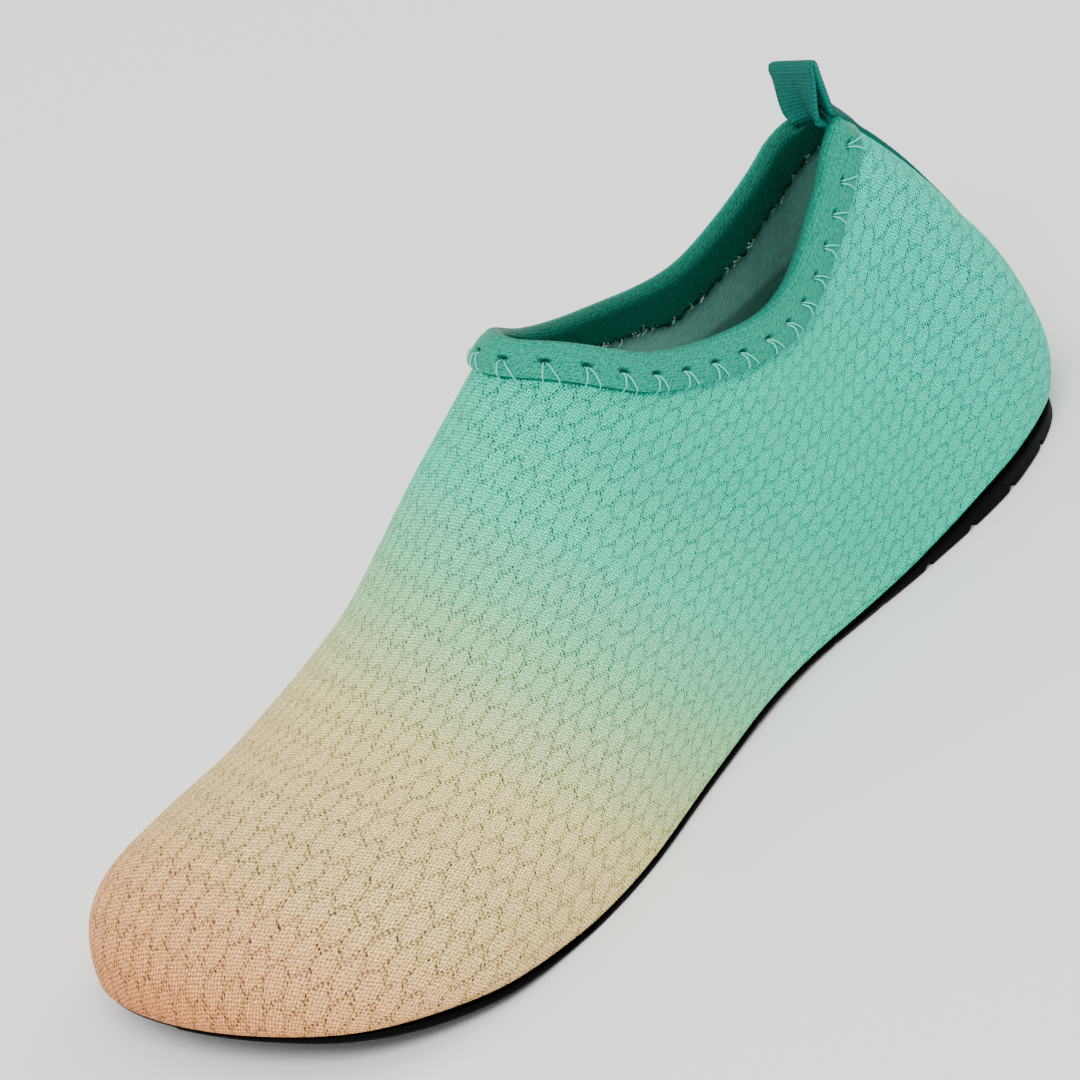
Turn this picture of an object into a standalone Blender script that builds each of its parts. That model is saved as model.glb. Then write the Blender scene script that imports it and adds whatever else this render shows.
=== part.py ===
# A slip-on water shoe for the left foot: a knitted sock with a bound collar on a thin rubber sole.
# Metres, +Z up. It stands on Z = 0 with its toe towards -Y and its outer side towards +X.
# The form is worked out in shoe coordinates first: side (plus is the outer side), along (0 at the
# back of the sole, SOLE_LENGTH at its tip) and height over the floor.
from collections import namedtuple

import bmesh
import bpy
import numpy as np

# The whole shoe
SOLE_LENGTH = 0.250
BALL_WIDTH = 0.092
INSTEP_HEIGHT = 0.085
HEEL_HEIGHT = 0.075
TOE_SPRING = 0.0082
ARCH_RISE = 0.0008
HEEL_BEVEL = 0.0015
BULGE = 0.0025
BULGE_HEIGHT = 0.038

# The sole and its tread
SOLE_THICKNESS = 0.0034
SOLE_LIP = 0.0006
SOLE_EDGE_ROUND = 0.0006
TREAD_DEPTH = 0.0013
GROOVE_WIDTH = 0.0016
GROOVE_DRAFT = 0.0003
GROOVE_OVERCUT = 0.0010
GROOVE_PITCH = 0.0140
GROOVE_SLANT = 0.0060
GROOVE_WAVE = 0.0022
INNER_RIM = 0.0055

# The upper, the insole and the fits between pieces
UPPER_WALL = 0.0012
FEATHER_ROUND = 0.0020
MARGIN_WIDTH = 0.0065
INSOLE_THICKNESS = 0.0030
INSOLE_CLEARANCE = 0.0026
GAP = 0.0003

# The collar's binding
BINDING_WALL = 0.0011
BINDING_OUTSIDE = 0.0064
BINDING_INSIDE = 0.0095

# The webbing that makes the pull loop and runs down the back seam
WEBBING_WIDTH = 0.0115
TAPE_WIDTH = 0.0050
WEBBING_WALL = 0.0009
LOOP_HEIGHT = 0.0100
LOOP_LEAN = 0.0015
LOOP_SLIT = 0.0012
LOOP_TUCK = 0.0070
TAPE_FOOT = 0.0160
TAPE_STEP = 0.0030

# How finely the curves are cut
OUTLINE_POINTS = 480
COLUMNS = 64
WALL_ROWS = 15
PATH_SAMPLES = 120

# The sole's outline, in shares of SOLE_LENGTH and of BALL_WIDTH, from the back round the outer side
OutlinePoint = namedtuple("OutlinePoint", "along side")
OUTLINE = [
    OutlinePoint(0.000, 0.000),
    OutlinePoint(0.035, 0.220),
    OutlinePoint(0.120, 0.330),
    OutlinePoint(0.250, 0.363),
    OutlinePoint(0.400, 0.360),
    OutlinePoint(0.540, 0.428),
    OutlinePoint(0.660, 0.511),
    OutlinePoint(0.760, 0.538),
    OutlinePoint(0.860, 0.520),
    OutlinePoint(0.945, 0.390),
    OutlinePoint(0.985, 0.170),
    OutlinePoint(0.995, -0.080),
    OutlinePoint(0.977, -0.270),
    OutlinePoint(0.925, -0.405),
    OutlinePoint(0.840, -0.465),
    OutlinePoint(0.730, -0.472),
    OutlinePoint(0.600, -0.400),
    OutlinePoint(0.460, -0.310),
    OutlinePoint(0.320, -0.290),
    OutlinePoint(0.200, -0.325),
    OutlinePoint(0.100, -0.310),
    OutlinePoint(0.030, -0.190),
]

# Sections across the foot. along is a share of SOLE_LENGTH, crown the height over the middle as a
# share of INSTEP_HEIGHT, edge and arch the powers of the section's curve at its foot and its top,
# bulge a share of BULGE, and sole the thickness under the wall as a share of SOLE_THICKNESS.
# Behind the instep the crown is a height that the section would close at: the collar cuts it open.
Section = namedtuple("Section", "along crown edge arch bulge sole")
SECTIONS = [
    Section(0.00, 1.221, 1.54, 1.85, 0.88, 0.95),
    Section(0.14, 1.264, 0.80, 1.10, 1.27, 1.28),
    Section(0.25, 1.245, 1.25, 0.90, 1.08, 1.18),
    Section(0.35, 1.115, 1.67, 1.53, 0.96, 1.00),
    Section(0.45, 1.053, 1.87, 1.74, 0.93, 0.86),
    Section(0.55, 0.868, 2.00, 1.94, 0.88, 0.86),
    Section(0.65, 0.629, 1.95, 1.95, 0.79, 0.94),
    Section(0.75, 0.482, 1.95, 1.94, 0.85, 0.94),
    Section(0.85, 0.442, 1.97, 2.06, 1.04, 0.97),
    Section(0.93, 0.424, 2.04, 2.20, 1.00, 1.03),
    Section(1.00, 0.380, 2.01, 2.12, 0.92, 1.10),
]

# The collar's edge seen from the side: shares of SOLE_LENGTH and of HEEL_HEIGHT
CollarPoint = namedtuple("CollarPoint", "along height")
COLLAR = [
    CollarPoint(0.00, 0.958),
    CollarPoint(0.08, 1.020),
    CollarPoint(0.16, 0.910),
    CollarPoint(0.25, 0.813),
    CollarPoint(0.34, 0.857),
    CollarPoint(0.42, 0.958),
    CollarPoint(0.49, 1.113),
    CollarPoint(0.56, 1.126),
]

# The heel's back seen from the side: shares of HEEL_HEIGHT and, backwards, of SOLE_LENGTH
BackPoint = namedtuple("BackPoint", "height back")
HEEL_BACK = [
    BackPoint(0.00, 0.0000),
    BackPoint(0.13, 0.0150),
    BackPoint(0.29, 0.0110),
    BackPoint(0.53, 0.0060),
    BackPoint(0.80, -0.0148),
    BackPoint(1.04, -0.0420),
]

# Which place on the sole's edge each place on the collar stands over, as shares from heel to toe
Pairing = namedtuple("Pairing", "edge collar")
PAIRINGS = [
    Pairing(0.00, 0.00),
    Pairing(0.17, 0.28),
    Pairing(0.33, 0.55),
    Pairing(0.52, 0.75),
    Pairing(0.75, 0.88),
    Pairing(1.00, 1.00),
]

# Fixed places, in shares of SOLE_LENGTH
HEEL_REACH = 0.25
COLLAR_CENTRE = 0.27
COLLAR_REACH = 0.75
HEEL_BEVEL_END = 0.05
ARCH_START = 0.32
ARCH_END = 0.58
SPRING_START = 0.74
SPRING_POWER = 1.65
FULL_WIDTH_START = 0.16
FULL_WIDTH_END = 0.78
TOE_NARROWING = 0.15
TREAD_START = 0.045
TREAD_END = 0.93
LONG_GROOVE_START = 0.065
LONG_GROOVE_END = 0.89

# The grooves along the sole: shares of the width between the inner rim and the outer edge
LongGroove = namedtuple("LongGroove", "place turns")
LONG_GROOVES = [
    LongGroove(0.30, 6),
    LongGroove(0.64, 5),
]


def column(rows, name):
    return np.array([getattr(row, name) for row in rows])


# The values at the given places of a soft curve through the rows of a table
def smooth(at, places, values):
    slopes = np.gradient(values, places)
    i = np.clip(np.searchsorted(places, at) - 1, 0, len(places) - 2)
    step = places[i + 1] - places[i]
    t = np.clip((at - places[i]) / step, 0, 1)
    start = (1 + 2 * t) * (1 - t) ** 2 * values[i] + t * (1 - t) ** 2 * step * slopes[i]
    end = t * t * (3 - 2 * t) * values[i + 1] + t * t * (t - 1) * step * slopes[i + 1]
    return start + end


def section_value(along, name):
    shares = np.clip(along / SOLE_LENGTH, 0, 1)
    return smooth(shares, column(SECTIONS, "along"), column(SECTIONS, name))


def lengths_along(points):
    steps = np.linalg.norm(np.diff(points, axis=0), axis=1)
    return np.concatenate([[0], np.cumsum(steps)])


# Points at the given distances along a line of points
def points_at(line, distances):
    lengths = lengths_along(line)
    return np.stack([np.interp(distances, lengths, values) for values in line.T], axis=1)


# A closed soft curve through a few points, as evenly spaced points
def closed_curve(corners, count, steps=24):
    spans = []
    for i in range(len(corners)):
        a, b, c, d = (corners[(i + k) % len(corners)] for k in (-1, 0, 1, 2))
        t1 = np.linalg.norm(b - a) ** 0.5
        t2 = t1 + np.linalg.norm(c - b) ** 0.5
        t3 = t2 + np.linalg.norm(d - c) ** 0.5
        t = np.linspace(t1, t2, steps, endpoint=False)[:, None]
        ab = a + (b - a) * t / t1
        bc = b + (c - b) * (t - t1) / (t2 - t1)
        cd = c + (d - c) * (t - t2) / (t3 - t2)
        abc = ab + (bc - ab) * t / t2
        bcd = bc + (cd - bc) * (t - t1) / (t3 - t1)
        spans.append(abc + (bcd - abc) * (t - t1) / (t2 - t1))
    line = np.concatenate(spans + [spans[0][:1]])
    return points_at(line, np.linspace(0, lengths_along(line)[-1], count, endpoint=False))


# Outward directions in plan along a closed outline that runs anticlockwise in (side, along)
def outward(outline):
    steps = np.roll(outline, -1, axis=0) - np.roll(outline, 1, axis=0)
    normals = np.stack([steps[:, 1], -steps[:, 0]], axis=1)
    return normals / np.linalg.norm(normals, axis=1)[:, None]


def sole_outline(count):
    corners = np.stack([column(OUTLINE, "side") * BALL_WIDTH, column(OUTLINE, "along") * SOLE_LENGTH], axis=1)
    return closed_curve(corners, count)


# How high the sole's underside lies: flat under heel and forefoot, raised at arch, toe and back
def underside(along):
    share = along / SOLE_LENGTH
    bevel = HEEL_BEVEL * np.clip(1 - share / HEEL_BEVEL_END, 0, 1) ** 2
    arch = ARCH_RISE * np.sin(np.pi * np.clip((share - ARCH_START) / (ARCH_END - ARCH_START), 0, 1)) ** 2
    spring = TOE_SPRING * np.clip((share - SPRING_START) / (1 - SPRING_START), 0, None) ** SPRING_POWER
    return bevel + arch + spring


# The height where the upper meets the sole
def feather_height(along):
    return underside(along) + SOLE_THICKNESS * section_value(along, "sole")


# The form that the upper is knitted over: its height over each place inside the sole's outline
class Last:
    CELL = 0.002

    def __init__(self):
        outline = sole_outline(OUTLINE_POINTS)
        self.feather = outline - outward(outline) * SOLE_LIP
        self.measure_widths()
        self.measure_distances()

    # Half the width at each place along the foot, kept full past the ends so that they stay round
    def measure_widths(self):
        starts, ends = self.feather, np.roll(self.feather, -1, axis=0)
        self.along = np.linspace(0, SOLE_LENGTH, 126)
        widths = []
        for along in self.along:
            cross = (starts[:, 1] - along) * (ends[:, 1] - along) <= 0
            if cross.sum() < 2:
                widths.append(np.nan)
                continue
            span = ends[cross] - starts[cross]
            side = starts[cross, 0] + (along - starts[cross, 1]) / (span[:, 1] + 1e-12) * span[:, 0]
            widths.append((side.max() - side.min()) / 2)
        widths = np.array(widths)
        share = self.along / SOLE_LENGTH
        back, front = share < FULL_WIDTH_START, share > FULL_WIDTH_END
        widths[back] = widths[~back][0]
        narrowing = 1 - TOE_NARROWING * (share[front] - FULL_WIDTH_END) / (1 - FULL_WIDTH_END)
        widths[front] = widths[~front][-1] * narrowing
        self.half_widths = widths

    # The distance to the edge over a grid of places, minus outside it
    def measure_distances(self):
        reach = 0.65 * BALL_WIDTH
        self.low = np.array([-reach, -2 * self.CELL])
        counts = np.ceil((np.array([reach, SOLE_LENGTH + 2 * self.CELL]) - self.low) / self.CELL).astype(int) + 1
        grid = np.stack(np.meshgrid(*[np.arange(n) * self.CELL for n in counts], indexing="ij"), axis=-1)
        places = (grid + self.low).reshape(-1, 1, 2)
        starts = self.feather[::2]
        spans = np.roll(starts, -1, axis=0) - starts
        shares = np.clip(((places - starts) * spans).sum(2) / (spans**2).sum(1), 0, 1)
        away = places - (starts + shares[..., None] * spans)
        distances = np.linalg.norm(away, axis=2)
        nearest = distances.argmin(axis=1)
        rows = np.arange(len(places))
        across = np.stack([spans[nearest, 1], -spans[nearest, 0]], axis=1)
        outside = (away[rows, nearest] * across).sum(1) > 0
        self.distances = np.where(outside, -1, 1) * distances[rows, nearest]
        self.distances = self.distances.reshape(counts)

    def distance(self, side, along):
        cells = (np.stack([side, along], axis=-1) - self.low) / self.CELL
        cells = np.clip(cells, 0, np.array(self.distances.shape) - 1.001)
        i, j = np.moveaxis(np.floor(cells).astype(int), -1, 0)
        u, v = np.moveaxis(cells % 1, -1, 0)
        d = self.distances
        near = d[i, j] * (1 - v) + d[i, j + 1] * v
        far = d[i + 1, j] * (1 - v) + d[i + 1, j + 1] * v
        return near * (1 - u) + far * u

    def height(self, side, along):
        share = np.clip(self.distance(side, along), 0, None) / np.interp(along, self.along, self.half_widths)
        foot = feather_height(along)
        crown = section_value(along, "crown") * INSTEP_HEIGHT
        curve = 1 - (1 - np.clip(share, 0, 1)) ** section_value(along, "edge")
        return foot + (crown - foot) * curve ** (1 / section_value(along, "arch"))

    # The collar's edge: all round its centre, where the form drops below the collar's side view
    def collar(self, directions=240, samples=500):
        angles = np.linspace(0, 2 * np.pi, directions, endpoint=False)
        ways = np.stack([np.sin(angles), -np.cos(angles)], axis=1)
        reach = np.linspace(0, COLLAR_REACH * SOLE_LENGTH, samples)
        centre = np.array([0, COLLAR_CENTRE * SOLE_LENGTH])
        places = centre + ways[:, None] * reach[None, :, None]
        side, along = places[..., 0], places[..., 1]
        shares = np.clip(along / SOLE_LENGTH, 0, COLLAR[-1].along)
        edge = smooth(shares, column(COLLAR, "along"), column(COLLAR, "height")) * HEEL_HEIGHT
        over = self.height(side, along) - edge
        last = np.maximum(((over < 0) | (self.distance(side, along) <= 0)).argmax(axis=1), 1)
        rows = np.arange(directions)
        before, after = over[rows, last - 1], over[rows, last]
        share = np.clip(before / (before - after + 1e-12), 0, 1)[:, None]
        return places[rows, last - 1] * (1 - share) + places[rows, last] * share

    # Leans the heel's back and swells the sides, which the plain heights can't do
    def shape(self, points):
        side, along, height = np.moveaxis(points, -1, 0)
        step = self.CELL / 2
        ways = np.stack(
            [
                self.distance(side - step, along) - self.distance(side + step, along),
                self.distance(side, along - step) - self.distance(side, along + step),
            ],
            axis=-1,
        )
        ways /= np.maximum(np.linalg.norm(ways, axis=-1), 1e-9)[..., None]
        swell = np.sin(np.pi * np.clip((height - feather_height(along)) / BULGE_HEIGHT, 0, 1))
        swell = swell * BULGE * section_value(along, "bulge")
        shares = np.clip(height / HEEL_HEIGHT, 0, HEEL_BACK[-1].height)
        back = smooth(shares, column(HEEL_BACK, "height"), column(HEEL_BACK, "back")) * SOLE_LENGTH
        back = back * np.clip(1 - along / SOLE_LENGTH / HEEL_REACH, 0, 1) ** 1.5
        shaped = points.copy()
        shaped[..., :2] += ways * swell[..., None]
        shaped[..., 1] -= back
        return shaped

    # Lines up the wall, from the sole's edge to the collar: an array of columns, samples and points
    def walls(self, columns):
        share, outer = edge_shares(columns)
        collar_share = smooth(share, column(PAIRINGS, "edge"), column(PAIRINGS, "collar"))
        feet = share_of_halves(self.feather, share, outer)
        tops = share_of_halves(self.collar(), collar_share, outer)
        path = np.linspace(0, 1, PATH_SAMPLES) ** 2.2
        plan = feet[:, None] + (tops - feet)[:, None] * path[None, :, None]
        height = self.height(plan[..., 0], plan[..., 1])
        height[:, 0] = feather_height(feet[:, 1])
        lines = self.shape(np.concatenate([plan, height[..., None]], axis=-1))
        return np.stack([points_at(line, np.linspace(0, lengths_along(line)[-1], PATH_SAMPLES)) for line in lines])


# Shares from heel to toe, out along the outer half and back along the inner, and which are the outer
def edge_shares(columns):
    half = columns // 2
    share = np.concatenate([np.linspace(0, 1, half + 1), np.linspace(1, 0, half + 1)[1:-1]])
    return share, np.arange(columns) <= half


# Points on a closed outline at shares of its outer or its inner half, both from heel to toe
def share_of_halves(outline, shares, outer):
    outline = np.roll(outline, -int(outline[:, 1].argmin()), axis=0)
    tip = int(outline[:, 1].argmax())
    halves = {True: outline[: tip + 1], False: np.concatenate([outline[tip:], outline[:1]])[::-1]}
    found = np.zeros((len(shares), 2))
    for is_outer, half in halves.items():
        chosen = outer == is_outer
        found[chosen] = points_at(half, shares[chosen] * lengths_along(half)[-1])
    return found


# Outward normals of a closed band of wall lines
def wall_normals(walls):
    around = np.roll(walls, -1, axis=0) - np.roll(walls, 1, axis=0)
    up = np.gradient(walls, axis=1)
    normals = np.cross(around, up)
    return normals / np.linalg.norm(normals, axis=2)[..., None]


# Each wall line's points and normals at distances from the collar, above it where they are minus
def below_collar(walls, normals, distance):
    points = np.zeros((len(walls), 3))
    directions = np.zeros((len(walls), 3))
    for i, (line, normal) in enumerate(zip(walls[:, ::-1], normals[:, ::-1])):
        at = max(distance, 0)
        lengths = lengths_along(line)
        points[i] = [np.interp(at, lengths, values) for values in line.T]
        directions[i] = [np.interp(at, lengths, values) for values in normal.T]
        rise = (line[0] - line[2]) / np.linalg.norm(line[0] - line[2])
        points[i] += rise * max(-distance, 0)
    return points, directions / np.linalg.norm(directions, axis=1)[:, None]


def to_world(points):
    world = np.array(points, float)
    world[..., 1] = SOLE_LENGTH / 2 - world[..., 1]
    return world


# A new object from a grid of points in rows: its ends, or its rows, or both meet where they coincide
def grid_object(name, points, material, cap_ends=False):
    rows, columns = points.shape[:2]
    mesh = bpy.data.meshes.new(name)
    bm = bmesh.new()
    bmesh.ops.create_grid(bm, x_segments=columns - 1, y_segments=rows - 1, size=1)
    bm.verts.ensure_lookup_table()
    for vertex, place in zip(bm.verts, to_world(points).reshape(-1, 3)):
        vertex.co = place
    bmesh.ops.remove_doubles(bm, verts=bm.verts, dist=1e-6)
    if cap_ends:
        bmesh.ops.holes_fill(bm, edges=bm.edges, sides=0)
    bmesh.ops.recalc_face_normals(bm, faces=bm.faces)
    for face in bm.faces:
        face.smooth = True
    bm.to_mesh(mesh)
    bm.free()
    mesh.materials.append(material)
    made = bpy.data.objects.new(name, mesh)
    return made


def closed_round(points):
    return np.concatenate([points, points[:, :1]], axis=1)


def add_wall(obj, thickness, offset):
    solidify = obj.modifiers.new("Wall", "SOLIDIFY")
    solidify.thickness = thickness
    solidify.offset = offset
    solidify.use_even_offset = True


# The middle line that a cap's two sides close on, one point for each point of its outline
def middle_line(outline, ends=3):
    half = len(outline) // 2
    pairs = np.minimum(np.arange(len(outline)), len(outline) - np.arange(len(outline)))
    pairs = np.clip(pairs, ends, half - ends)
    return (outline[pairs] + outline[-pairs]) / 2


def rows_at(plan, height):
    return np.concatenate([plan, np.broadcast_to(height, len(plan))[:, None]], axis=1)


def make_upper(walls, material):
    shares = np.linspace(0, 1, WALL_ROWS) ** 1.15
    rows = []
    feet = walls[:, 0, :2]
    ways = outward(feet)
    corner = (1 - np.sqrt(0.5)) * FEATHER_ROUND
    for inward, rise in ((MARGIN_WIDTH, 0), (FEATHER_ROUND, 0), (corner, corner)):
        plan = feet - ways * inward
        rows.append(rows_at(plan, feather_height(plan[:, 1]) + rise))
    for share in shares:
        row = []
        for line in walls:
            length = lengths_along(line)[-1]
            row.append(points_at(line, [FEATHER_ROUND + (length - FEATHER_ROUND) * share])[0])
        rows.append(np.array(row))
    upper = grid_object("upper", closed_round(np.array(rows)), material)
    add_wall(upper, UPPER_WALL, -1)
    return upper


def make_binding(walls, material):
    normals = wall_normals(walls)
    outer = GAP + BINDING_WALL
    inner = UPPER_WALL + GAP + BINDING_WALL
    middle = UPPER_WALL / 2
    section = [
        (BINDING_OUTSIDE, outer),
        (BINDING_OUTSIDE / 2, outer),
        (0, outer),
    ]
    for angle in np.radians([45, 90, 135]):
        section.append((-np.sin(angle) * (outer + middle), np.cos(angle) * (outer + middle) - middle))
    section += [
        (0, -inner),
        (BINDING_INSIDE / 2, -inner),
        (BINDING_INSIDE, -inner),
        (BINDING_INSIDE, -UPPER_WALL - GAP),
        (BINDING_INSIDE / 2, -UPPER_WALL - GAP),
        (0, -UPPER_WALL - GAP),
    ]
    for angle in np.radians([120, 60]):
        section.append((-np.sin(angle) * (GAP + middle) - GAP, np.cos(angle) * (GAP + middle) - middle))
    section += [
        (0, GAP),
        (BINDING_OUTSIDE / 2, GAP),
        (BINDING_OUTSIDE, GAP),
    ]
    rows = []
    for distance, offset in section + section[:1]:
        points, directions = below_collar(walls, normals, distance)
        rows.append(points + directions * offset)
    return grid_object("collar_binding", closed_round(np.array(rows)), material)


def make_insole(walls, material):
    feet = walls[:, 0, :2]
    ways = outward(feet)
    edge = feet - ways * INSOLE_CLEARANCE
    step = feet - ways * (MARGIN_WIDTH + 2 * GAP)
    middle = middle_line(step)
    margin_top = UPPER_WALL + GAP
    top = margin_top + INSOLE_THICKNESS
    levels = [(middle, top), (step, top), (edge, top), (edge, margin_top), (step, margin_top), (step, 0), (middle, 0)]
    rows = [rows_at(plan, feather_height(plan[:, 1]) + level) for plan, level in levels]
    return grid_object("insole", closed_round(np.array(rows)), material)


def make_sole_body(material):
    share, outer = edge_shares(COLUMNS)
    outline = share_of_halves(sole_outline(OUTLINE_POINTS), share, outer)
    ways = outward(outline)
    inset = outline - ways * SOLE_EDGE_ROUND
    seat = outline - ways * (SOLE_LIP + FEATHER_ROUND)
    middle = middle_line(seat)
    quarter = (seat + middle) / 2
    rows = []
    for plan, drop in ((middle, 0), (quarter, 0), (seat, 0), (inset, 0), (outline, SOLE_EDGE_ROUND)):
        rows.append(rows_at(plan, feather_height(plan[:, 1]) - GAP - drop))
    for plan, rise in ((outline, SOLE_EDGE_ROUND), (inset, 0), (quarter, 0), (middle, 0)):
        rows.append(rows_at(plan, underside(plan[:, 1]) + rise))
    return grid_object("outsole", closed_round(np.array(rows)), material)


# The sole's inner and outer edge at a place along it
def sole_edges(along):
    outline = sole_outline(OUTLINE_POINTS)
    tip = int(outline[:, 1].argmax())
    outer = outline[: tip + 1]
    inner = np.concatenate([outline[tip:], outline[:1]])[::-1]
    return np.interp(along, inner[:, 1], inner[:, 0]), np.interp(along, outer[:, 1], outer[:, 0])


# A channel along a path of (side, along) places, a little wider at the tread's face
def make_channel(name, path):
    ways = np.gradient(path, axis=0)
    ways = np.stack([ways[:, 1], -ways[:, 0]], axis=1) / np.linalg.norm(ways, axis=1)[:, None]
    floor = underside(path[:, 1])
    rows = []
    face, root = GROOVE_WIDTH / 2 + GROOVE_DRAFT, GROOVE_WIDTH / 2 - GROOVE_DRAFT
    corners = [(face, -GROOVE_OVERCUT), (root, TREAD_DEPTH), (-root, TREAD_DEPTH), (-face, -GROOVE_OVERCUT)]
    for across, rise in corners + corners[:1]:
        rows.append(rows_at(path + ways * across, floor + rise))
    channel = grid_object(name, np.array(rows).transpose(1, 0, 2), None, cap_ends=True)
    channel.hide_render = True
    channel.display_type = "WIRE"
    return channel


# Wavy grooves from the outer edge, where each leaves a notch, to the smooth rim of the inner edge
def cross_grooves():
    grooves = []
    count = int((TREAD_END - TREAD_START) * SOLE_LENGTH / GROOVE_PITCH)
    for k in range(count):
        along = TREAD_START * SOLE_LENGTH + (k + 0.5) * GROOVE_PITCH
        inner, outer = sole_edges(along)
        start, end = outer + GROOVE_OVERCUT, inner + INNER_RIM
        t = np.linspace(0, 1, 9)
        side = start + (end - start) * t
        wave = GROOVE_SLANT * (0.5 - t) + GROOVE_WAVE * np.sin(2 * np.pi * t)
        grooves.append(np.stack([side, along + wave], axis=1))
    return grooves


# Two wavy grooves along the sole, which part the cross bars into an outer, a middle and an inner row
def long_grooves():
    grooves = []
    for place, turns in LONG_GROOVES:
        t = np.linspace(0, 1, 42)
        along = (LONG_GROOVE_START + (LONG_GROOVE_END - LONG_GROOVE_START) * t) * SOLE_LENGTH
        inner, outer = sole_edges(along)
        width = outer - inner - INNER_RIM
        side = inner + INNER_RIM + width * place + GROOVE_WAVE * np.sin(2 * np.pi * turns * t)
        grooves.append(np.stack([side, along], axis=1))
    return grooves


def cut(obj, cutter):
    boolean = obj.modifiers.new(cutter.name, "BOOLEAN")
    boolean.operation = "DIFFERENCE"
    boolean.object = cutter


# A strip over the heel's back, up from above the sole, into a loop and down inside the collar
def make_pull_loop(walls, material):
    normals = wall_normals(walls)
    lift = GAP + WEBBING_WALL / 2
    across = np.linspace(-0.5, 0.5, 5)
    height = lengths_along(walls[0])[-1]
    over_binding = GAP + BINDING_WALL + lift
    inside = UPPER_WALL + GAP + BINDING_WALL + lift
    tape = height - TAPE_FOOT - BINDING_OUTSIDE
    back_stations = [(height - TAPE_FOOT - k * tape / 6, lift, TAPE_WIDTH) for k in range(6)]
    back_stations += [
        (BINDING_OUTSIDE + TAPE_STEP, lift, TAPE_WIDTH),
        (BINDING_OUTSIDE + GAP, over_binding, TAPE_WIDTH),
        (BINDING_OUTSIDE / 2, over_binding, (TAPE_WIDTH + WEBBING_WIDTH) / 2),
        (0, over_binding, WEBBING_WIDTH),
        (-over_binding, over_binding, WEBBING_WIDTH),
    ]
    front_stations = [(distance, -inside, WEBBING_WIDTH) for distance in (-over_binding, 0, LOOP_TUCK / 2, LOOP_TUCK)]
    back, front = (
        [strip_row(walls, normals, distance, offset, across * width) for distance, offset, width in stations]
        for stations in (back_stations, front_stations)
    )
    rows = back + loop_rows(back[-1], front[0], across * WEBBING_WIDTH) + front
    loop = grid_object("pull_loop", np.array(rows), material)
    add_wall(loop, WEBBING_WALL, 0)
    return loop


def strip_row(walls, normals, distance, offset, across):
    points, directions = below_collar(walls, normals, distance)
    order = np.arange(-6, 7)
    line = points[order] + directions[order] * offset
    lengths = lengths_along(line)
    return points_at(line, across + lengths[len(order) // 2])


# The free part of the webbing: up behind, over a tight fold and down in front, leaning to the toe
def loop_rows(back, front, across):
    rows = []
    start, end = back[len(across) // 2], front[len(across) // 2]
    radius = (LOOP_SLIT + WEBBING_WALL) / 2
    top = start[2] + LOOP_HEIGHT - radius
    middle = np.array([0, (start[1] + end[1]) / 2 + LOOP_LEAN, top])
    angles = np.radians([-90, -45, 0, 45, 90])
    fold = [middle + radius * np.array([0, np.sin(a), np.cos(a)]) for a in angles]
    flat = np.stack([across, 0 * across, 0 * across], axis=1)
    for share in (0.12, 0.3, 0.5, 0.7, 0.86):
        rows.append(leg_row(back, fold[0] + flat, share))
    rows += [place + flat for place in fold]
    for share in (0.86, 0.7, 0.5, 0.3, 0.12):
        rows.append(leg_row(front, fold[-1] + flat, share))
    return rows


# A row part of the way up a leg: it leaves the collar upright and bends over towards the fold
def leg_row(foot, head, share):
    row = foot + (head - foot) * share
    ease = share * share * (3 - 2 * share)
    row[:, 1] = foot[:, 1] + (head[:, 1] - foot[:, 1]) * ease
    return row


def make_material(name, colour, roughness):
    material = bpy.data.materials.new(name)
    material.use_nodes = True
    shader = material.node_tree.nodes["Principled BSDF"]
    shader.inputs["Base Color"].default_value = (*colour, 1)
    shader.inputs["Roughness"].default_value = roughness
    return material


# The origin goes under the middle of the shoe's box, on the floor
def centre_on_floor(objects):
    bpy.context.view_layer.update()
    graph = bpy.context.evaluated_depsgraph_get()
    corners = []
    for obj in objects:
        mesh = obj.evaluated_get(graph).to_mesh()
        points = np.empty(len(mesh.vertices) * 3, np.float32)
        mesh.vertices.foreach_get("co", points)
        corners += [points.reshape(-1, 3).min(axis=0), points.reshape(-1, 3).max(axis=0)]
    low, high = np.min(corners, axis=0), np.max(corners, axis=0)
    return -(low[0] + high[0]) / 2, -(low[1] + high[1]) / 2


def main():
    for obj in list(bpy.data.objects):
        bpy.data.objects.remove(obj)
    shoe = bpy.data.collections.new("water_shoe")
    cutters = bpy.data.collections.new("water_shoe_cutters")
    bpy.context.scene.collection.children.link(shoe)
    bpy.context.scene.collection.children.link(cutters)

    last = Last()
    walls = last.walls(COLUMNS)
    knit = make_material("knit", (0.55, 0.75, 0.66), 0.85)
    satin = make_material("satin_binding", (0.02, 0.62, 0.56), 0.45)
    webbing = make_material("webbing", (0.01, 0.25, 0.24), 0.7)
    rubber = make_material("black_rubber", (0.012, 0.012, 0.013), 0.55)
    foam = make_material("foam", (0.25, 0.35, 0.33), 0.9)

    outsole = make_sole_body(rubber)
    for kind, paths in (("cross", cross_grooves()), ("long", long_grooves())):
        for k, path in enumerate(paths):
            channel = make_channel(f"{kind}_groove_{k}", path)
            cutters.objects.link(channel)
            cut(outsole, channel)
    pieces = [
        outsole,
        make_upper(walls, knit),
        make_insole(walls, foam),
        make_binding(walls, satin),
        make_pull_loop(walls, webbing),
    ]
    for piece in pieces:
        shoe.objects.link(piece)
    shift = centre_on_floor(pieces)
    for obj in pieces + list(cutters.objects):
        for vertex in obj.data.vertices:
            vertex.co.x += shift[0]
            vertex.co.y += shift[1]


main()
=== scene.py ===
import math
import random
from functools import partial

import bmesh
import bpy
import numpy as np
from mathutils import Matrix, Vector, kdtree


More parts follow.
